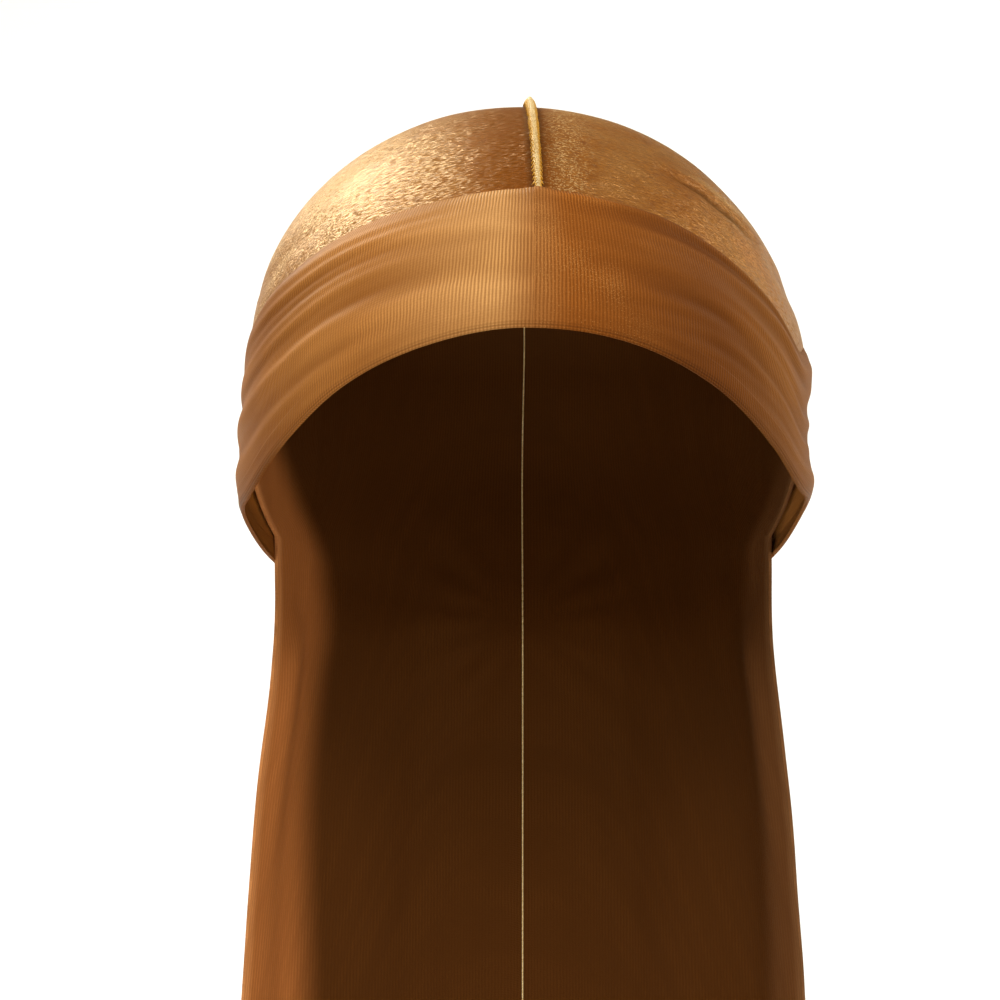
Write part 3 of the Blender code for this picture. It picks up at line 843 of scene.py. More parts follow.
class Nodes:
    """Short calls for building the nodes of a material or a group."""

    def __init__(self, tree):
        self.tree = tree

    def add(self, kind, **settings):
        node = self.tree.nodes.new(kind)
        for key, value in settings.items():
            setattr(node, key, value)
        return node

    def put(self, socket, value):
        """A value is set on the socket, and another node's socket is linked to it."""
        if isinstance(value, bpy.types.NodeSocket):
            self.tree.links.new(value, socket)
        else:
            socket.default_value = value

    def made(self, kind, *values, **settings):
        """The outputs of a new node, whose first inputs get the values."""
        node = self.add(kind, **settings)
        for socket, value in zip(node.inputs, values):
            self.put(socket, value)
        return node.outputs

    def math(self, operation, *values, clamp=False):
        return self.made("ShaderNodeMath", *values, operation=operation, use_clamp=clamp)[0]

    def plus(self, first, second):
        return self.math("ADD", first, second)

    def minus(self, first, second):
        return self.math("SUBTRACT", first, second)

    def times(self, first, second):
        return self.math("MULTIPLY", first, second)

    def over(self, first, second):
        return self.math("DIVIDE", first, second)

    def total(self, value, *parts):
        """The value with a share of each part added to it."""
        for part, share in parts:
            value = self.plus(value, self.times(part, share))
        return value

    def wave(self, value, pitch):
        """A wave between 0 and 1 that repeats after each pitch."""
        turn = self.times(self.over(value, pitch), math.tau)
        return self.times(self.plus(self.math("SINE", turn), 1.0), 0.5)

    def blend(self, share, first, second):
        """A colour from first, at 0, to second, at 1."""
        node = self.add("ShaderNodeMix", data_type="RGBA", clamp_factor=True)
        self.put(node.inputs["Factor"], share)
        self.put(node.inputs[6], first)
        self.put(node.inputs[7], second)
        return node.outputs[2]

    def range(self, *limits):
        """A value eased from its low and high limits to 0 and 1, or to two given numbers."""
        eased = self.made("ShaderNodeMapRange", *limits, interpolation_type="SMOOTHSTEP", clamp=True)
        return eased["Result"]

    def vector(self, operation, *values):
        return self.made("ShaderNodeVectorMath", *values, operation=operation)[0]

    def scaled(self, vector, scale):
        return self.vector("MULTIPLY", vector, scale)

    def noise(self, vector, scale=1.0, detail=2.0, roughness=0.5):
        node = self.add("ShaderNodeTexNoise", noise_dimensions="3D")
        self.put(node.inputs["Vector"], vector)
        node.inputs["Scale"].default_value = scale
        node.inputs["Detail"].default_value = detail
        node.inputs["Roughness"].default_value = roughness
        return node.outputs["Fac"]

    def grain(self, cloth, across, along, detail=1.0, roughness=0.5):
        """Noise with so many spots to a metre in each direction of the cloth."""
        return self.noise(self.scaled(cloth, (across, along, 1.0)), detail=detail, roughness=roughness)

    def joined(self, x, y):
        return self.made("ShaderNodeCombineXYZ", x, y)[0]

    def split(self, vector):
        return self.made("ShaderNodeSeparateXYZ", vector)

    def attribute(self, name):
        return self.add("ShaderNodeAttribute", attribute_name=name).outputs["Fac"]

    def cells(self, vector):
        """The red and the green of a random colour for each cell of a pattern."""
        node = self.add("ShaderNodeTexVoronoi", voronoi_dimensions="2D", feature="F1")
        self.put(node.inputs["Vector"], vector)
        node.inputs["Scale"].default_value = 1.0
        return self.made("ShaderNodeSeparateColor", node.outputs["Color"])[:2]

    def tilted(self, normal, colour, amount):
        """A normal turned by a random colour, by at most the given amount."""
        offset = self.vector("SUBTRACT", colour, (0.5, 0.5, 0.5))
        return self.vector("NORMALIZE", self.vector("ADD", normal, self.scaled(offset, amount)))

    def group(self, tree, **inputs):
        node = self.add("ShaderNodeGroup", node_tree=tree)
        for name, value in inputs.items():
            self.put(node.inputs[name.replace("_", " ")], value)
        return node.outputs


def new_group(name, inputs, outputs):
    """An empty node group with named sockets, and the helper that fills it."""
    tree = bpy.data.node_groups.new(name, "ShaderNodeTree")
    for label, kind, default in inputs:
        socket = tree.interface.new_socket(label, in_out="INPUT", socket_type=kind)
        if default is not None:
            socket.default_value = default
    for label, kind in outputs:
        tree.interface.new_socket(label, in_out="OUTPUT", socket_type=kind)
    nodes = Nodes(tree)
    return tree, nodes, nodes.add("NodeGroupInput").outputs, nodes.add("NodeGroupOutput").inputs


VECTOR = "NodeSocketVector"
FLOAT = "NodeSocketFloat"
COLOUR = "NodeSocketColor"


@functools.lru_cache(maxsize=None)
def knit_group():
    """Fine ribs across the cloth's first direction, with the courses of the knit between them."""
    tree, nodes, given, made = new_group(
        "Ribbed knit",
        (
            ("Cloth", VECTOR, None),
            ("Rib pitch", FLOAT, 0.0011),
            ("Course pitch", FLOAT, 0.0008),
            ("Rib strength", FLOAT, 1.0),
        ),
        (("Height", FLOAT), ("Shade", FLOAT), ("Specks", FLOAT)),
    )
    cloth = given["Cloth"]
    u, v, _ = nodes.split(cloth)
    wobble = nodes.minus(nodes.grain(cloth, 260.0, 130.0), 0.5)
    rib = nodes.wave(nodes.total(u, (wobble, RIB_WOBBLE)), given["Rib pitch"])
    course = nodes.wave(v, given["Course pitch"])
    strong = nodes.range(nodes.grain(cloth, 22.0, 60.0, detail=2.0), 0.38, 0.62, 0.45, 1.0)
    fibres = nodes.grain(cloth, 2600.0, 1500.0)
    ribbed = nodes.times(nodes.minus(nodes.times(rib, strong), RIB_MIDDLE), given["Rib strength"])
    ribbed = nodes.plus(ribbed, RIB_MIDDLE)
    nodes.put(made["Height"], nodes.total(ribbed, (course, 0.20), (fibres, 0.55)))
    nodes.put(made["Shade"], nodes.total(nodes.times(ribbed, 0.70), (course, 0.06), (fibres, 0.34)))
    speck = nodes.grain(cloth, 3300.0, 2600.0, detail=0.0)
    patch = nodes.range(nodes.grain(cloth, 45.0, 45.0), 0.40, 0.65)
    above = nodes.minus(speck, nodes.minus(0.72, nodes.times(patch, 0.14)))
    nodes.put(made["Specks"], nodes.math("MULTIPLY", above, SPECK_CONTRAST, clamp=True))
    return tree


@functools.lru_cache(maxsize=None)
def pile_group():
    """Crushed pile: tufts that lie in streaks across the cloth, and larger brushed patches."""
    tree, nodes, given, made = new_group(
        "Crushed pile",
        (("Cloth", VECTOR, None), ("Streak length", FLOAT, 0.0056), ("Streak width", FLOAT, 0.00050)),
        (("Height", FLOAT), ("Shade", FLOAT), ("Patches", FLOAT), ("Tufts", COLOUR), ("Glints", FLOAT)),
    )
    cloth = given["Cloth"]
    u, v, _ = nodes.split(cloth)
    bend = nodes.minus(nodes.grain(cloth, 110.0, 110.0, detail=2.0), 0.5)
    bent = nodes.total(v, (bend, STREAK_BEND))
    streak_at = nodes.joined(nodes.over(u, given["Streak length"]), nodes.over(bent, given["Streak width"]))
    streaks = nodes.noise(streak_at, scale=0.8, detail=3.0, roughness=0.66)
    tuft_u = nodes.over(nodes.times(u, 2.0), given["Streak length"])
    tuft_v = nodes.over(nodes.times(bent, 1.7), given["Streak width"])
    tufts = []
    for offset in TUFT_OFFSETS:
        tuft_at = nodes.joined(nodes.plus(tuft_u, offset), tuft_v)
        tufts.append(nodes.range(nodes.noise(tuft_at, detail=1.0), 0.33, 0.67))
    glint, nap = nodes.cells(nodes.scaled(cloth, (2300.0, 3000.0, 1.0)))
    fibres = nodes.grain(cloth, 2600.0, 3600.0, detail=0.0)
    patches = nodes.grain(cloth, 48.0, 62.0, detail=2.0, roughness=0.45)
    shade = nodes.total(nodes.times(streaks, 0.55), (tufts[2], 0.28), (fibres, 0.17))
    clumped = nodes.total(glint, (nodes.minus(streaks, 0.5), 0.9))
    nodes.put(made["Height"], nodes.total(streaks, (fibres, 0.30)))
    nodes.put(made["Shade"], nodes.range(shade, 0.34, 0.66))
    nodes.put(made["Patches"], nodes.range(patches, 0.30, 0.70))
    nodes.put(made["Tufts"], nodes.made("ShaderNodeCombineColor", tufts[0], tufts[1], nap)[0])
    # the spots where the velvet gets painted glints
    nodes.put(made["Glints"], nodes.range(clumped, 0.76, 0.92))
    return tree


def new_material(name, look):
    """A material, the helper that fills it, and the inputs of its shader, some of them set by its look."""
    material = bpy.data.materials.new(name)
    material.use_nodes = True
    shader = material.node_tree.nodes["Principled BSDF"].inputs
    for key, value in look.items():
        shader[key].default_value = value
    return material, Nodes(material.node_tree), shader


def bumped(nodes, shader, height, strength, distance, normal=None):
    bump = nodes.add("ShaderNodeBump")
    if normal:
        nodes.put(bump.inputs["Normal"], normal)
    bump.inputs["Strength"].default_value = strength
    bump.inputs["Distance"].default_value = distance
    nodes.put(bump.inputs["Height"], height)
    nodes.put(shader["Normal"], bump.outputs["Normal"])


def cloth_uv(nodes):
    return nodes.add("ShaderNodeUVMap", uv_map="cloth").outputs["UV"]


def linear(colour):
    return (*colour, 1.0)


@functools.lru_cache(maxsize=None)
def velvet_material(name, glint_reach, painted_shade_reach):
    """The pile side: deep gold with a pale gloss, crushed into streaks that run from the seam to the ear.

    Near the seam the velvet gets painted glints over glint_reach metres, and painted shade over
    painted_shade_reach metres.
    """
    colours = bpy.context.scene.durag_colours
    material, nodes, shader = new_material("velvet_pile_" + name, PILE_LOOK)
    cloth = cloth_uv(nodes)
    u = nodes.split(cloth)[0]
    crease = nodes.attribute("rise")
    pile = nodes.group(pile_group(), Cloth=cloth)
    near_seam = nodes.range(u, glint_reach, 0.25 * glint_reach, 0.06, 0.80)
    base = nodes.blend(pile["Shade"], linear(colours.pile_deep), linear(colours.pile_light))
    for share, colour in (
        (nodes.times(pile["Patches"], PATCH_SHARE), colours.pile_brushed),
        # painted glints near the seam
        (nodes.times(pile["Glints"], near_seam), colours.pile_glint),
        # painted shade near the seam, in the colour of the pile between its streaks
        (nodes.range(u, painted_shade_reach, 0.1 * painted_shade_reach, 0.0, 0.80), colours.pile_deep),
        # painted shadow of the raised seam along its foot
        (nodes.range(u, 0.0042, 0.0012, 0.0, 0.6), colours.pile_shade),
        # painted shade in the creases
        (nodes.range(crease, -0.30, -0.95, 0.0, 0.55), colours.pile_shade),
        # painted highlight on the low ridges above the creases
        (nodes.range(crease, 0.08, 0.30, 0.0, 0.22), colours.pile_glint),
    ):
        base = nodes.blend(share, base, linear(colour))
    nodes.put(shader["Base Color"], base)
    nodes.put(shader["Roughness"], nodes.range(pile["Shade"], 0.0, 1.0, *PILE_ROUGHNESS))
    glossy = nodes.times(nodes.range(crease, -0.80, -0.20, 0.2, 1.0), PILE_GLOSS)
    glossy = nodes.times(nodes.range(u, 0.25 * painted_shade_reach, painted_shade_reach, 0.28, 1.0), glossy)
    nodes.put(shader["Specular IOR Level"], glossy)
    flat = nodes.add("ShaderNodeNewGeometry").outputs["Normal"]
    ruffled = nodes.range(pile["Patches"], 0.15, 0.85, *PILE_TILT)
    bumped(nodes, shader, pile["Height"], 0.18, 0.0004, nodes.tilted(flat, pile["Tufts"], ruffled))
    return material


@functools.lru_cache(maxsize=None)
def knit_material(name, tones, reach, hem_lines=False, joint=None, inside=False, painted_sparkle_share=0.0):
    """The wrong side: a matte ribbed knit, whose tone drifts through the tones over reach metres.

    A tie's tones are painted light and shade that drift along it from the joint at the brow. The inside's
    tone runs from a painted highlight at its free edge, through the panel's painted tone, to painted shade
    far from the edge.
    """
    material, nodes, shader = new_material("ribbed_knit_" + name, KNIT_LOOK)
    cloth = cloth_uv(nodes)
    u, v, _ = nodes.split(cloth)
    ribs = INSIDE_RIBS if inside else nodes.range(u, 0.050, 0.004, 0.75, 1.25)
    knit = nodes.group(knit_group(), Cloth=cloth, Rib_strength=ribs)
    if inside:
        # a painted highlight along the free edge, then the panel's painted tone, then painted shade far
        # from the edge
        u = nodes.attribute("hem")
        painted_edge_light = nodes.scaled(tones[0], INSIDE_EDGE_HIGHLIGHT)
        tone = nodes.blend(nodes.range(u, 0.0045, 0.0008), linear(tones[0]), painted_edge_light)
        tone = nodes.blend(nodes.range(u, 0.5 * reach, reach), tone, linear(tones[1]))
    else:
        # a tie's painted light and shade drift from the brow to the ear
        tone = linear(tones[0])
        step = reach / (len(tones) - 1)
        for index, following in enumerate(tones[1:]):
            tone = nodes.blend(nodes.range(u, index * step, (index + 1) * step), tone, linear(following))
    if joint:
        # the two ties' painted tones meet in the joint's tone at the brow
        tone = nodes.blend(nodes.range(u, 0.0130, -0.0020), tone, linear(joint))
        # painted shade in the fold valleys and painted light on the fold crests
        tone = nodes.blend(nodes.attribute("rise"), nodes.scaled(tone, VALLEY_PAINTED_SHADE), nodes.scaled(tone, CREST_PAINTED_LIGHT))
    base = nodes.blend(knit["Shade"], nodes.scaled(tone, KNIT_DARK), nodes.scaled(tone, KNIT_LIGHT))
    if joint:
        # painted sparkle highlights near the brow
        painted_sparkle = nodes.times(knit["Specks"], nodes.range(u, 0.045, 0.012, 0.03, painted_sparkle_share))
        base = nodes.blend(painted_sparkle, base, PAINTED_SPARKLE)
    height = knit["Height"]
    if hem_lines:
        lines = nodes.times(nodes.wave(v, HEM_LINE_PITCH), nodes.range(v, 0.0028, 0.0012))
        base = nodes.blend(nodes.times(lines, 0.55), base, nodes.scaled(tone, HEM_LINE_DARK))
        height = nodes.total(height, (nodes.range(v, 0.0072, 0.0064), 1.2))
        height = nodes.minus(height, nodes.times(lines, 0.8))
    nodes.put(shader["Base Color"], base)
    bumped(nodes, shader, height, 0.5, 0.00028)
    return material


@functools.lru_cache(maxsize=None)
def thread_material(name, colour):
    """Glossy sewing thread with a fine twist."""
    material, nodes, shader = new_material("seam_thread_" + name, THREAD_LOOK)
    place = nodes.add("ShaderNodeTexCoord").outputs["Object"]
    twist = nodes.noise(nodes.scaled(place, (2600.0, 2600.0, 2600.0)), detail=1.0)
    dark = nodes.scaled(colour, THREAD_DARK)
    nodes.put(shader["Base Color"], nodes.blend(nodes.range(twist, 0.35, 0.65), dark, linear(colour)))
    nodes.put(shader["Roughness"], nodes.range(twist, 0.3, 0.7, 0.52, 0.38))
    bumped(nodes, shader, twist, 0.4, 0.0002)
    return material


def colour_of(key):
    """One of the colours that the sidebar offers."""
    return tuple(getattr(bpy.context.scene.durag_colours, key))


def wrong_side(name):
    # the panel's painted lit or shaded tone, and the painted deep shade
    tones = (colour_of("inside_" + name), colour_of("inside_deep"))
    return knit_material("inside_" + name, tones, LIT_REACH[name], inside=True)


def length_property(name, description, default, **limits):
    return bpy.props.FloatProperty(
        name=name, description=description, default=default, subtype="DISTANCE", unit="LENGTH", **limits
    )


class DuragSizes(bpy.types.PropertyGroup):
    cloth: length_property("Cloth", "Thickness of the velvet and the ties", 0.0012, min=0.0006, max=0.003)
    stitch_pitch: length_property(
        "Stitch pitch", "Distance between the overlock stitches of the seam", 0.0020, min=0.0005, max=0.004
    )
    thread: length_property("Thread", "Diameter of the overlock thread", 0.00046, min=0.0002, max=0.001)
    hem_z: length_property("Lowest point", "Height of the lowest tail end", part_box("tail_left")[0].z)


def colour_property(name, description, default):
    return bpy.props.FloatVectorProperty(
        name=name, description=description, default=default, size=3, min=0.0, max=1.0, subtype="COLOR"
    )


class DuragColours(bpy.types.PropertyGroup):
    # Also the colour of the painted shade near the seam
    pile_deep: colour_property("Pile, deep", "Velvet between the streaks", (0.22, 0.058, 0.004))
    pile_light: colour_property("Pile, light", "Velvet on the streaks", (0.43, 0.150, 0.017))
    # Painted shade: deep in the creases, and as the seam's shadow along its foot
    pile_shade: colour_property("Pile, shaded", "Velvet deep in the creases", (0.045, 0.013, 0.002))
    # Painted highlight: glints near the seam and on the low ridges above the creases
    pile_glint: colour_property("Pile, glint", "Tips of the pile that catch the light", (0.95, 0.62, 0.27))
    pile_brushed: colour_property("Pile, brushed", "Velvet that is brushed flat", (0.54, 0.28, 0.078))
    # Painted light and shade of the ties: the left is painted lit, fading to the ear, the right painted
    # shaded, darkest over the temple
    knit_left_brow: colour_property("Left tie, brow", "At the middle of the brow", (0.75, 0.395, 0.142))
    knit_left_side: colour_property("Left tie, side", "Over the temple", (0.475, 0.190, 0.045))
    knit_left_ear: colour_property("Left tie, ear", "Over the ear", (0.30, 0.098, 0.015))
    knit_joint: colour_property("Ties, joint", "Where both ties meet at the brow", (0.46, 0.190, 0.052))
    knit_right_brow: colour_property("Right tie, brow", "At the middle of the brow", (0.385, 0.122, 0.018))
    knit_right_side: colour_property("Right tie, side", "Over the temple", (0.19, 0.057, 0.010))
    knit_right_ear: colour_property("Right tie, ear", "Over the ear", (0.30, 0.112, 0.024))
    # Painted light and shade of the inside: the left is painted lit, the right painted shaded, and far from
    # an edge it is painted in deep shade
    inside_left: colour_property("Inside, left", "Inside of the left panel", (0.40, 0.132, 0.033))
    inside_deep: colour_property("Inside, deep", "Inside, far from an edge", (0.072, 0.021, 0.003))
    inside_right: colour_property("Inside, right", "Inside of the right panel", (0.130, 0.046, 0.013))
    thread: colour_property("Thread", "Looped thread of the centre seam", (0.84, 0.44, 0.018))
    thread_pale: colour_property("Thread, pale", "Thread wound round the centre seam", (0.92, 0.70, 0.34))
    rib: colour_property("Rib", "Cloth edge inside the centre seam", (0.88, 0.68, 0.34))


class DURAG_OT_panels(bpy.types.Operator):
    """Build the two velvet panels, each half of the crown and half of the cape"""

    bl_idname = "durag.panels"
    bl_label = "Velvet panels"

    def execute(self, context):
        cloth = context.scene.durag_sizes.cloth
        for name, side in SIDES.items():
            panel = cloth_sheet(
                "velvet_panel_" + name,
                PANEL_COUNTS,
                lambda across, row: panel_point(name, cloth, across, row_place(row)),
                side < 0,
                measured=("end",),
                rise=lambda across, row: panel_rise(name, across, row_place(row)),
            )
            materials = (velvet_material(name, *PILE_AT_SEAM[name]), wrong_side(name))
            give_wall(panel, cloth, True)
            dress(panel, materials, "velvet", "panel_" + name)
        return {"FINISHED"}


class DURAG_OT_straps(bpy.types.Operator):
    """Build the two ties from the middle of the brow to the knot"""

    bl_idname = "durag.straps"
    bl_label = "Ties round the head"

    def execute(self, context):
        cloth = context.scene.durag_sizes.cloth
        joint = colour_of("knit_joint")
        for name, side in SIDES.items():
            strap = cloth_sheet(
                "tie_strap_" + name,
                STRAP_COUNTS,
                lambda along, across: strap_point(name, cloth, along, across),
                side < 0,
                even=True,
                measured=("top", "bottom"),
                rise=lambda along, across: strap_rise(name, along, across),
            )
            tones = tuple(colour_of(f"knit_{name}_{zone}") for zone in ("brow", "side", "ear"))
            knit = knit_material(name, tones, TIE_REACH, True, joint, painted_sparkle_share=PAINTED_SPARKLE_SHARE[name])
            give_wall(strap, cloth, False)
            dress(strap, (knit,), "tie_knit", "strap_" + name)
        return {"FINISHED"}


class DURAG_OT_seams(bpy.types.Operator):
    """Build the raised centre seam: a rib of folded cloth bound with overlock thread"""

    bl_idname = "durag.seams"
    bl_label = "Centre seam"

    def execute(self, context):
        sizes = context.scene.durag_sizes
        gold = thread_material("gold", colour_of("thread"))
        pale = thread_material("pale", colour_of("thread_pale"))
        folded = thread_material("rib", colour_of("rib"))
        start = (math.radians(SEAM_BAND_ANGLE) - tilt_of(SEAM_BROW_Z)) / seam_sweep() * CROWN_SHARE
        end = (math.pi - tilt_of(SEAM_KNOT_Z) - tilt_of(SEAM_BROW_Z)) / seam_sweep() * CROWN_SHARE
        below = (SEAM_NAPE_Z - CAPE_SEAM_TOP_Z) / (SEAM_NAPE_Z - HEM_CENTRE_Z)
        spans = {
            "crown_seam": (start, end, TUCK_AT_BAND, TUCK_AT_KNOT),
            "cape_seam": (mix(CROWN_SHARE, 1.0, below), 1.0, TUCK_AT_KNOT, 0.0),
        }
        for name, span in spans.items():
            feet = seam_feet(sizes.cloth, *span)
            dress(seam_rib(name + "_rib", feet), (folded,), "seam_thread", name)
            dress(seam_winding(name + "_winding", feet, sizes), (pale,), "seam_thread")
            for hand, side in SIDES.items():
                chain = seam_chain(f"{name}_chain_{hand}", feet, sizes, side)
                dress(chain, (gold,), "seam_thread")
        dress(inner_stitches("seam_inner_stitches"), (pale,), "seam_thread")
        return {"FINISHED"}


def seam_feet(thickness, start, end, tucked_at_start=0.0, tucked_at_end=0.0, steps=150):
    """Points on the velvet along the seam, each with its upward direction and its share of the height."""
    places = []
    for step in range(steps + 1):
        down = mix(start, end, step / steps)
        places.append(panel_point("right", thickness, 0.0, down) - Vector((SEAM_GAP / 2.0, 0.0, 0.0)))
    length = seam_length(places)
    walked = 0.0
    feet = []
    for index, place in enumerate(places):
        if index:
            walked += (place - places[index - 1]).length
        share = 1.0
        if tucked_at_start:
            share = min(share, ease(walked, 0.0, tucked_at_start))
        if tucked_at_end:
            share = min(share, ease(length - walked, 0.0, tucked_at_end))
        feet.append((place, off_head(place), mix(TUCKED_HEIGHT, 1.0, share)))
    return feet


def seam_length(places):
    return sum((far - near).length for near, far in zip(places, places[1:]))


def stitch_count(feet, pitch):
    return int(seam_length([foot[0] for foot in feet]) / pitch)


def foot_at(feet, share):
    """The place, upward direction and height share at any share of the way along the seam."""
    at = share * (len(feet) - 1)
    slot = min(int(at), len(feet) - 2)
    (near, near_up, near_size), (far, far_up, far_size) = feet[slot], feet[slot + 1]
    part = at - slot
    return near.lerp(far, part), near_up.lerp(far_up, part).normalized(), mix(near_size, far_size, part)


def section_spot(foot, up, size, turn, swell=0.0):
    """A point on the rib's section, at a turn from its right side, 0, over its crest, 90 degrees."""
    high = (rounded(math.sin(turn), RIB_ROUNDING) + 1.0) / 2.0
    half = mix(RIB_WIDTH, RIB_CREST_WIDTH, high) / 2.0 + swell
    spot = foot + up * (RIB_FOOT + high * size * RIB_HEIGHT + swell * math.sin(turn))
    spot.x += rounded(math.cos(turn), RIB_ROUNDING) * half
    return spot


def seam_rib(name, feet):
    """A grid rolled into a tube of rounded section along the feet, and closed at both ends."""
    bm = bmesh.new()
    bmesh.ops.create_grid(bm, x_segments=12, y_segments=len(feet) - 1, size=1.0)
    for vert in bm.verts:
        turn = math.pi * (vert.co.x + 1.0)
        foot, up, size = feet[round((vert.co.y + 1.0) / 2.0 * (len(feet) - 1))]
        vert.co = section_spot(foot, up, size, turn, RIB_ROUGHNESS * noise.noise(foot * 900.0))
    bmesh.ops.remove_doubles(bm, verts=bm.verts, dist=0.000001)
    bmesh.ops.holes_fill(bm, edges=bm.edges, sides=12)
    bmesh.ops.recalc_face_normals(bm, faces=bm.faces)
    return finished(bm, name)


def tube(name, points, radius, closed=False):
    """A thread through points, as a mesh."""
    curve = bpy.data.curves.new(name, "CURVE")
    curve.dimensions = "3D"
    curve.bevel_depth = radius
    curve.bevel_resolution = 1
    curve.use_fill_caps = True
    spline = curve.splines.new("POLY")
    spline.points.add(len(points) - 1)
    for spot, point in zip(spline.points, points):
        spot.co = (*point, 1.0)
    spline.use_cyclic_u = closed
    made = added(name, curve)
    mesh = bpy.data.meshes.new_from_object(made.evaluated_get(bpy.context.evaluated_depsgraph_get()))
    bpy.data.objects.remove(made)
    mesh.shade_smooth()
    return added(name, mesh)


def seam_winding(name, feet, sizes):
    """The overlock thread that is wound round the rib."""
    total = stitch_count(feet, sizes.stitch_pitch) * TURNS_PER_STITCH * POINTS_PER_TURN
    points = []
    for index in range(total + 1):
        foot, up, size = foot_at(feet, index / total)
        turn = math.tau * index / POINTS_PER_TURN + 0.7 * noise.noise(foot * 1500.0)
        swell = (0.12 + 0.25 * noise.noise(foot * 2100.0)) * sizes.thread
        points.append(section_spot(foot, up, size, turn, swell))
    return tube(name, points, sizes.thread / 2.0)


def seam_chain(name, feet, sizes, side):
    """The row of loops that stands out along one side of the rib, one to each stitch."""
    total = stitch_count(feet, sizes.stitch_pitch) * POINTS_PER_LOOP
    points = []
    for index in range(total + 1):
        foot, up, size = foot_at(feet, index / total)
        share = (index % POINTS_PER_LOOP) / POINTS_PER_LOOP
        out = hump((share - 0.5) / LOOP_SHARE)
        ragged = noise.noise(foot * 1300.0)
        lean = mix(LOOP_TOP_ANGLE, LOOP_SIDE_ANGLE, out) + 9.0 * ragged
        turn = math.radians(90.0 - side * lean)
        spot = section_spot(foot, up, size, turn, mix(0.25, 1.45 + 0.7 * ragged, out) * sizes.thread)
        ahead = foot_at(feet, min(index / total + 0.002, 1.0))[0]
        behind = foot_at(feet, max(index / total - 0.002, 0.0))[0]
        along = (ahead - behind).normalized()
        points.append(spot + along * 0.06 * sizes.stitch_pitch * math.sin(math.tau * share))
    return tube(name, points, sizes.thread / 2.0)


def inner_stitches(name):
    """The needle thread, which shows inside the wrap along the whole seam."""
    feet = seam_feet(0.0, 0.0, 1.0, steps=400)
    total = stitch_count(feet, INNER_STITCH) * POINTS_PER_INNER_STITCH
    points = []
    for index in range(total + 1):
        foot, up, _ = foot_at(feet, index / total)
        dip = abs(math.sin(math.pi * index / POINTS_PER_INNER_STITCH)) ** 0.6
        points.append(foot - up * (INNER_DIP * dip - INNER_LIFT))
    return tube(name, points, INNER_THREAD / 2.0)


class DURAG_OT_knot(bpy.types.Operator):
    """Build the knot at the nape from the two gathered ties and the turn that binds them"""

    bl_idname = "durag.knot"
    bl_label = "Knot"

    def execute(self, context):
        # the knot takes the painted ear tones of both ties
        tones = tuple(colour_of(f"knit_{name}_ear") for name in SIDES)
        knit = knit_material("knot", tones, KNOT_REACH)
        dress(knot_body("knot_gathered_ties"), (knit,), "tie_knit", "knot")
        dress(knot_turn("knot_binding_turn"), (knit,), "tie_knit")
        return {"FINISHED"}


def rounded(value, power):
    return math.copysign(abs(value) ** power, value)


def settle_faces(bm):
    """Blender gives a sphere's faces in any order, so they are put in the order of their corners."""
    bm.verts.index_update()
    count = len(bm.verts)

    def place(face):
        low, middle, high = sorted(vert.index for vert in face.verts)[:3]
        return float((low * count + middle) * count + high)

    bm.faces.sort(key=place)


def knot_body(name):
    """The two ties come in from the sides and are pinched together in the middle."""
    bm = bmesh.new()
    layer = bm.loops.layers.uv.new("cloth")
    along_x = Matrix.Rotation(math.pi / 2.0, 4, "Y")
    around, along = KNOT_SEGMENTS
    bmesh.ops.create_uvsphere(bm, u_segments=around, v_segments=along, radius=1.0, matrix=along_x)
    settle_faces(bm)
    for vert in bm.verts:
        x, y, z = vert.co
        turn = math.atan2(z, y)
        waist = 1.0 - KNOT_WAIST * hump(x / KNOT_WAIST_SPREAD)
        pull = 1.0 - 0.5 * abs(x)
        side = KNOT_GATHER_PHASES[x > 0.0]
        wave = 0.5 + 0.5 * math.cos(KNOT_GATHERS * turn + side + 0.7 * math.sin(2.0 * turn + side))
        share = waist * (1.0 - KNOT_GATHER_DEPTH * pull * wave**0.7)
        out = KNOT_HALF.y
        up = 0.0
        if math.hypot(y, z) > 0.001:
            out += rounded(y * share, KNOT_ROUNDING) * KNOT_HALF.y * KNOT_BODY_SHARE
            up = rounded(z * share, KNOT_ROUNDING) * KNOT_HALF.z * KNOT_BODY_SHARE
        vert.co = knot_spot(rounded(x, KNOT_END_ROUNDING) * KNOT_HALF.x, out, up)
    middle = knot_spot(0.0, KNOT_HALF.y, 0.0)
    for face in bm.faces:
        turns = [knot_angle(loop.vert.co - middle) for loop in face.loops]
        for loop, turn in zip(face.loops, turns):
            if max(turns) - min(turns) > math.pi and turn < 0.0:
                turn += math.tau
            loop[layer].uv = (loop.vert.co.x, turn * KNOT_HALF.z)
    return finished(bm, name)


def knot_angle(offset):
    upward, outward = knot_axes()
    return math.atan2(offset.dot(upward), offset.dot(outward))


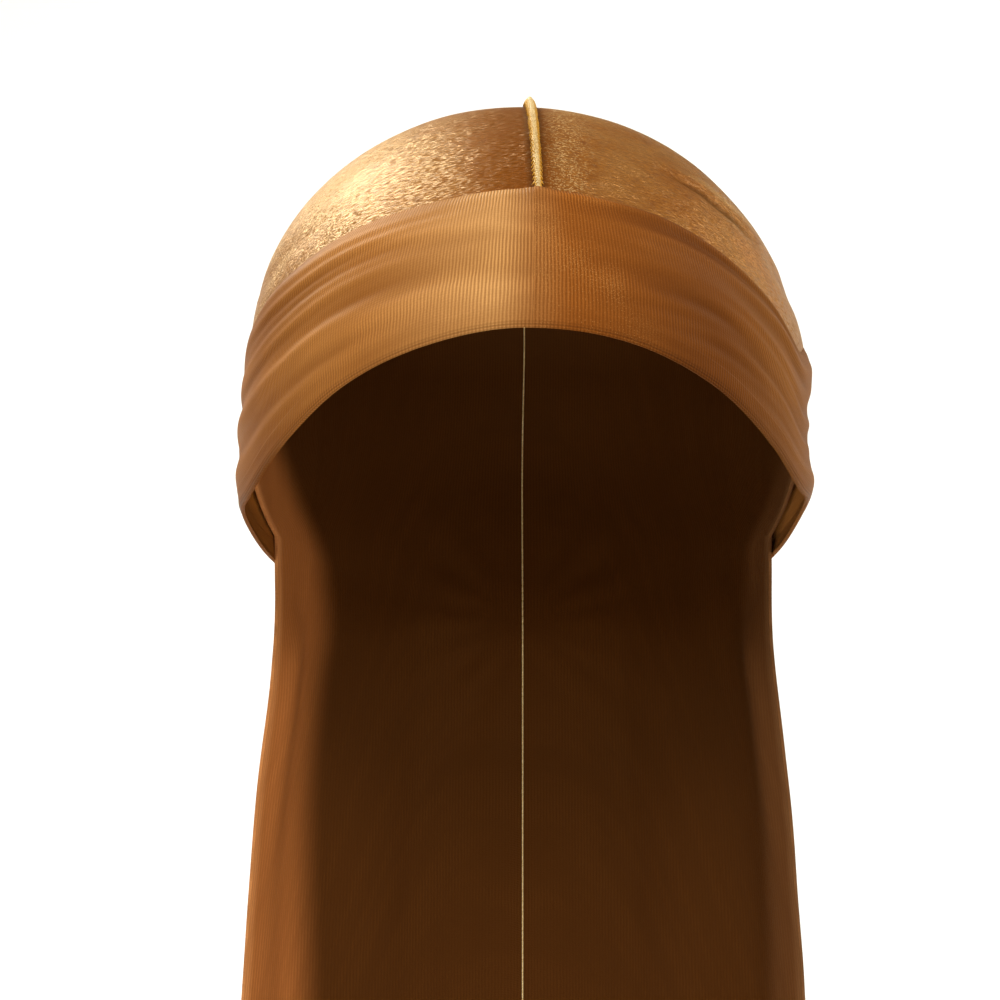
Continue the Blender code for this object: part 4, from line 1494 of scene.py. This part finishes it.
def knot_turn(name):
    """The turn of cloth that goes round the gathered ties, with a few pleats along it."""
    bm = bmesh.new()
    layer = bm.loops.layers.uv.new("cloth")
    bmesh.ops.create_grid(bm, x_segments=TURN_SEGMENTS[0], y_segments=TURN_SEGMENTS[1], size=math.pi)
    places = {}
    for vert in bm.verts:
        theta, section = vert.co.x, vert.co.y
        across = rounded(math.sin(section), TURN_ROUNDING)
        outer = rounded(math.cos(section), TURN_ROUNDING)
        width = TURN_HALF_WIDTH * (1.0 + 0.22 * math.cos(theta + 0.5) + 0.10 * math.sin(2.0 * theta))
        lean = TURN_LEAN * math.sin(theta + 0.4)
        bulge = 1.0 - across * across
        pleat = math.cos(math.tau * TURN_PLEATS * across + 0.8 * math.sin(theta)) * bulge
        high = TURN_HALF_THICKNESS * (1.0 + TURN_PLEAT_DEPTH * pleat * ease(outer, -0.2, 0.6))
        out = rounded(math.cos(theta), TURN_RING_ROUNDING) * KNOT_HALF.y
        out *= TURN_SHARE + TURN_BULGE[0] * bulge
        up = rounded(math.sin(theta), TURN_RING_ROUNDING) * KNOT_HALF.z
        up *= TURN_SHARE + TURN_BULGE[1] * bulge
        places[vert] = (theta, section)
        vert.co = knot_spot(
            across * width + lean,
            KNOT_HALF.y + out + math.cos(theta) * outer * high,
            up + math.sin(theta) * outer * high,
        )
    for face in bm.faces:
        for loop in face.loops:
            theta, section = places[loop.vert]
            loop[layer].uv = (theta * KNOT_HALF.z, section * TURN_HALF_WIDTH)
    bmesh.ops.remove_doubles(bm, verts=bm.verts, dist=0.000001)
    bmesh.ops.recalc_face_normals(bm, faces=bm.faces)
    return finished(bm, name)


class DURAG_OT_tails(bpy.types.Operator):
    """Build the hanging ends of the two ties"""

    bl_idname = "durag.tails"
    bl_label = "Hanging tails"

    def execute(self, context):
        cloth = context.scene.durag_sizes.cloth
        for name, side in SIDES.items():
            tail = cloth_sheet(
                "tie_tail_" + name,
                TAIL_COUNTS,
                lambda across, down: tail_point(name, cloth, across, down),
                side < 0,
                along_first=False,
                measured=("bottom",),
            )
            # each tail takes its tie's painted ear tone
            tone = colour_of(f"knit_{name}_ear")
            knit = knit_material("tail_" + name, (tone, tone), KNOT_REACH)
            give_wall(tail, cloth, False)
            dress(tail, (knit,), "tie_knit", "tail_" + name)
        return {"FINISHED"}


class DURAG_OT_stage(bpy.types.Operator):
    """Build the pale sweep, the soft lights and the camera"""

    bl_idname = "durag.stage"
    bl_label = "Studio"

    def execute(self, context):
        add_sweep(context.scene.durag_sizes.hem_z - FLOOR_BELOW)
        add_lights()
        add_camera(context.scene)
        return {"FINISHED"}


def add_sweep(floor_z):
    """A floor that curves up into a back wall, which is clear when it is seen from behind."""
    bm = bmesh.new()
    bmesh.ops.create_grid(bm, x_segments=1, y_segments=40, size=1.0)
    start, end = SWEEP_BENDS_BETWEEN
    bend_y = SWEEP_BACK_Y - SWEEP_BEND
    bend_z = floor_z + SWEEP_BEND
    for vert in bm.verts:
        along = (vert.co.y + 1.0) / 2.0
        x = vert.co.x * SWEEP_HALF_WIDTH
        if along < start:
            vert.co = (x, mix(SWEEP_FRONT_Y, bend_y, along / start), floor_z)
        elif along < end:
            turn = (along - start) / (end - start) * math.pi / 2.0
            vert.co = (x, bend_y + SWEEP_BEND * math.sin(turn), bend_z - SWEEP_BEND * math.cos(turn))
        else:
            vert.co = (x, SWEEP_BACK_Y, bend_z + (along - end) / (1.0 - end) * SWEEP_WALL)
    sweep = finished(bm, "studio_sweep")
    material, nodes, shader = new_material("studio_white", {"Roughness": 0.9})
    place = nodes.add("ShaderNodeTexCoord").outputs["Object"]
    mottle = nodes.noise(place, scale=6.0, detail=2.0)
    nodes.put(shader["Base Color"], nodes.blend(mottle, *SWEEP_WHITES))
    output = material.node_tree.nodes["Material Output"].inputs["Surface"]
    one_way = nodes.add("ShaderNodeMixShader")
    nodes.put(one_way.inputs["Fac"], nodes.add("ShaderNodeNewGeometry").outputs["Backfacing"])
    nodes.put(one_way.inputs[1], output.links[0].from_socket)
    nodes.put(one_way.inputs[2], nodes.add("ShaderNodeBsdfTransparent").outputs["BSDF"])
    nodes.put(output, one_way.outputs["Shader"])
    sweep.data.materials.append(material)


LIGHT_COLUMNS = ("name", "place", "aim", "size", "power", "colour")
LIGHT_ROWS = (
    ("key_above", (-0.20, -1.20, 1.25), (0.0, 0.0, 0.02), 0.45, 19.5, (1.0, 0.96, 0.90)),
    ("fill_right", (0.95, -0.95, 0.20), (0.0, 0.0, 0.0), 0.6, 2.8, (1.0, 0.95, 0.88)),
    ("gloss_back_left", (-0.67, 0.58, 0.84), (-0.04, -0.03, 0.09), 0.62, 17.5, (0.90, 0.98, 0.88)),
    ("rim_right", (0.95, 0.35, 0.50), (0.04, 0.0, 0.03), 0.5, 3.4, (1.0, 0.88, 0.62)),
    ("wall_left", (-0.9, 0.45, 0.9), (-0.7, 1.45, 0.50), 0.8, 7.0, (1.0, 1.0, 1.0)),
    ("wall_right", (0.9, 0.45, 0.9), (0.7, 1.45, 0.50), 0.8, 7.0, (1.0, 1.0, 1.0)),
)


def add_lights():
    for row in LIGHT_ROWS:
        light = dict(zip(LIGHT_COLUMNS, row))
        lamp = bpy.data.lights.new(light["name"], "AREA")
        lamp.shape = "DISK"
        lamp.size = light["size"]
        lamp.energy = light["power"]
        lamp.color = light["colour"]
        obj = added(light["name"], lamp)
        obj.location = light["place"]
        aim = Vector(light["aim"]) - obj.location
        obj.rotation_euler = aim.to_track_quat("-Z", "Y").to_euler()
    world = bpy.data.worlds.new("studio_air")
    world.use_nodes = True
    air = world.node_tree.nodes["Background"].inputs
    air["Color"].default_value = AIR_COLOUR
    air["Strength"].default_value = AIR_STRENGTH
    bpy.context.scene.world = world


def add_camera(scene):
    lens = bpy.data.cameras.new("camera")
    lens.lens = CAMERA_LENS
    lens.sensor_width = 36.0
    lens.clip_start = 0.05
    camera = added("camera", lens)
    camera.location = CAMERA_PLACE
    camera.rotation_euler = (math.pi / 2.0, 0.0, 0.0)
    scene.camera = camera
    scene.view_settings.view_transform = "Standard"


class DURAG_PT_pieces(bpy.types.Panel):
    bl_idname = "DURAG_PT_pieces"
    bl_label = "Velvet durag"
    bl_space_type = "VIEW_3D"
    bl_region_type = "UI"
    bl_category = "Durag"

    def draw(self, context):
        layout = self.layout
        for group in (context.scene.durag_sizes, context.scene.durag_colours):
            for key in group.__annotations__:
                layout.prop(group, key)
        for operator in OPERATORS:
            layout.operator(operator.bl_idname)


OPERATORS = (
    DURAG_OT_panels,
    DURAG_OT_straps,
    DURAG_OT_seams,
    DURAG_OT_knot,
    DURAG_OT_tails,
    DURAG_OT_stage,
)
CLASSES = (DuragSizes, DuragColours, *OPERATORS, DURAG_PT_pieces)


def register():
    for cls in CLASSES:
        bpy.utils.register_class(cls)
    bpy.types.Scene.durag_sizes = bpy.props.PointerProperty(type=DuragSizes)
    bpy.types.Scene.durag_colours = bpy.props.PointerProperty(type=DuragColours)


def unregister():
    del bpy.types.Scene.durag_colours
    del bpy.types.Scene.durag_sizes
    for cls in reversed(CLASSES):
        bpy.utils.unregister_class(cls)


def main():
    register()
    bpy.ops.durag.panels()
    bpy.ops.durag.straps()
    bpy.ops.durag.seams()
    bpy.ops.durag.knot()
    bpy.ops.durag.tails()
    bpy.ops.durag.stage()


if __name__ == "__main__":
    main()
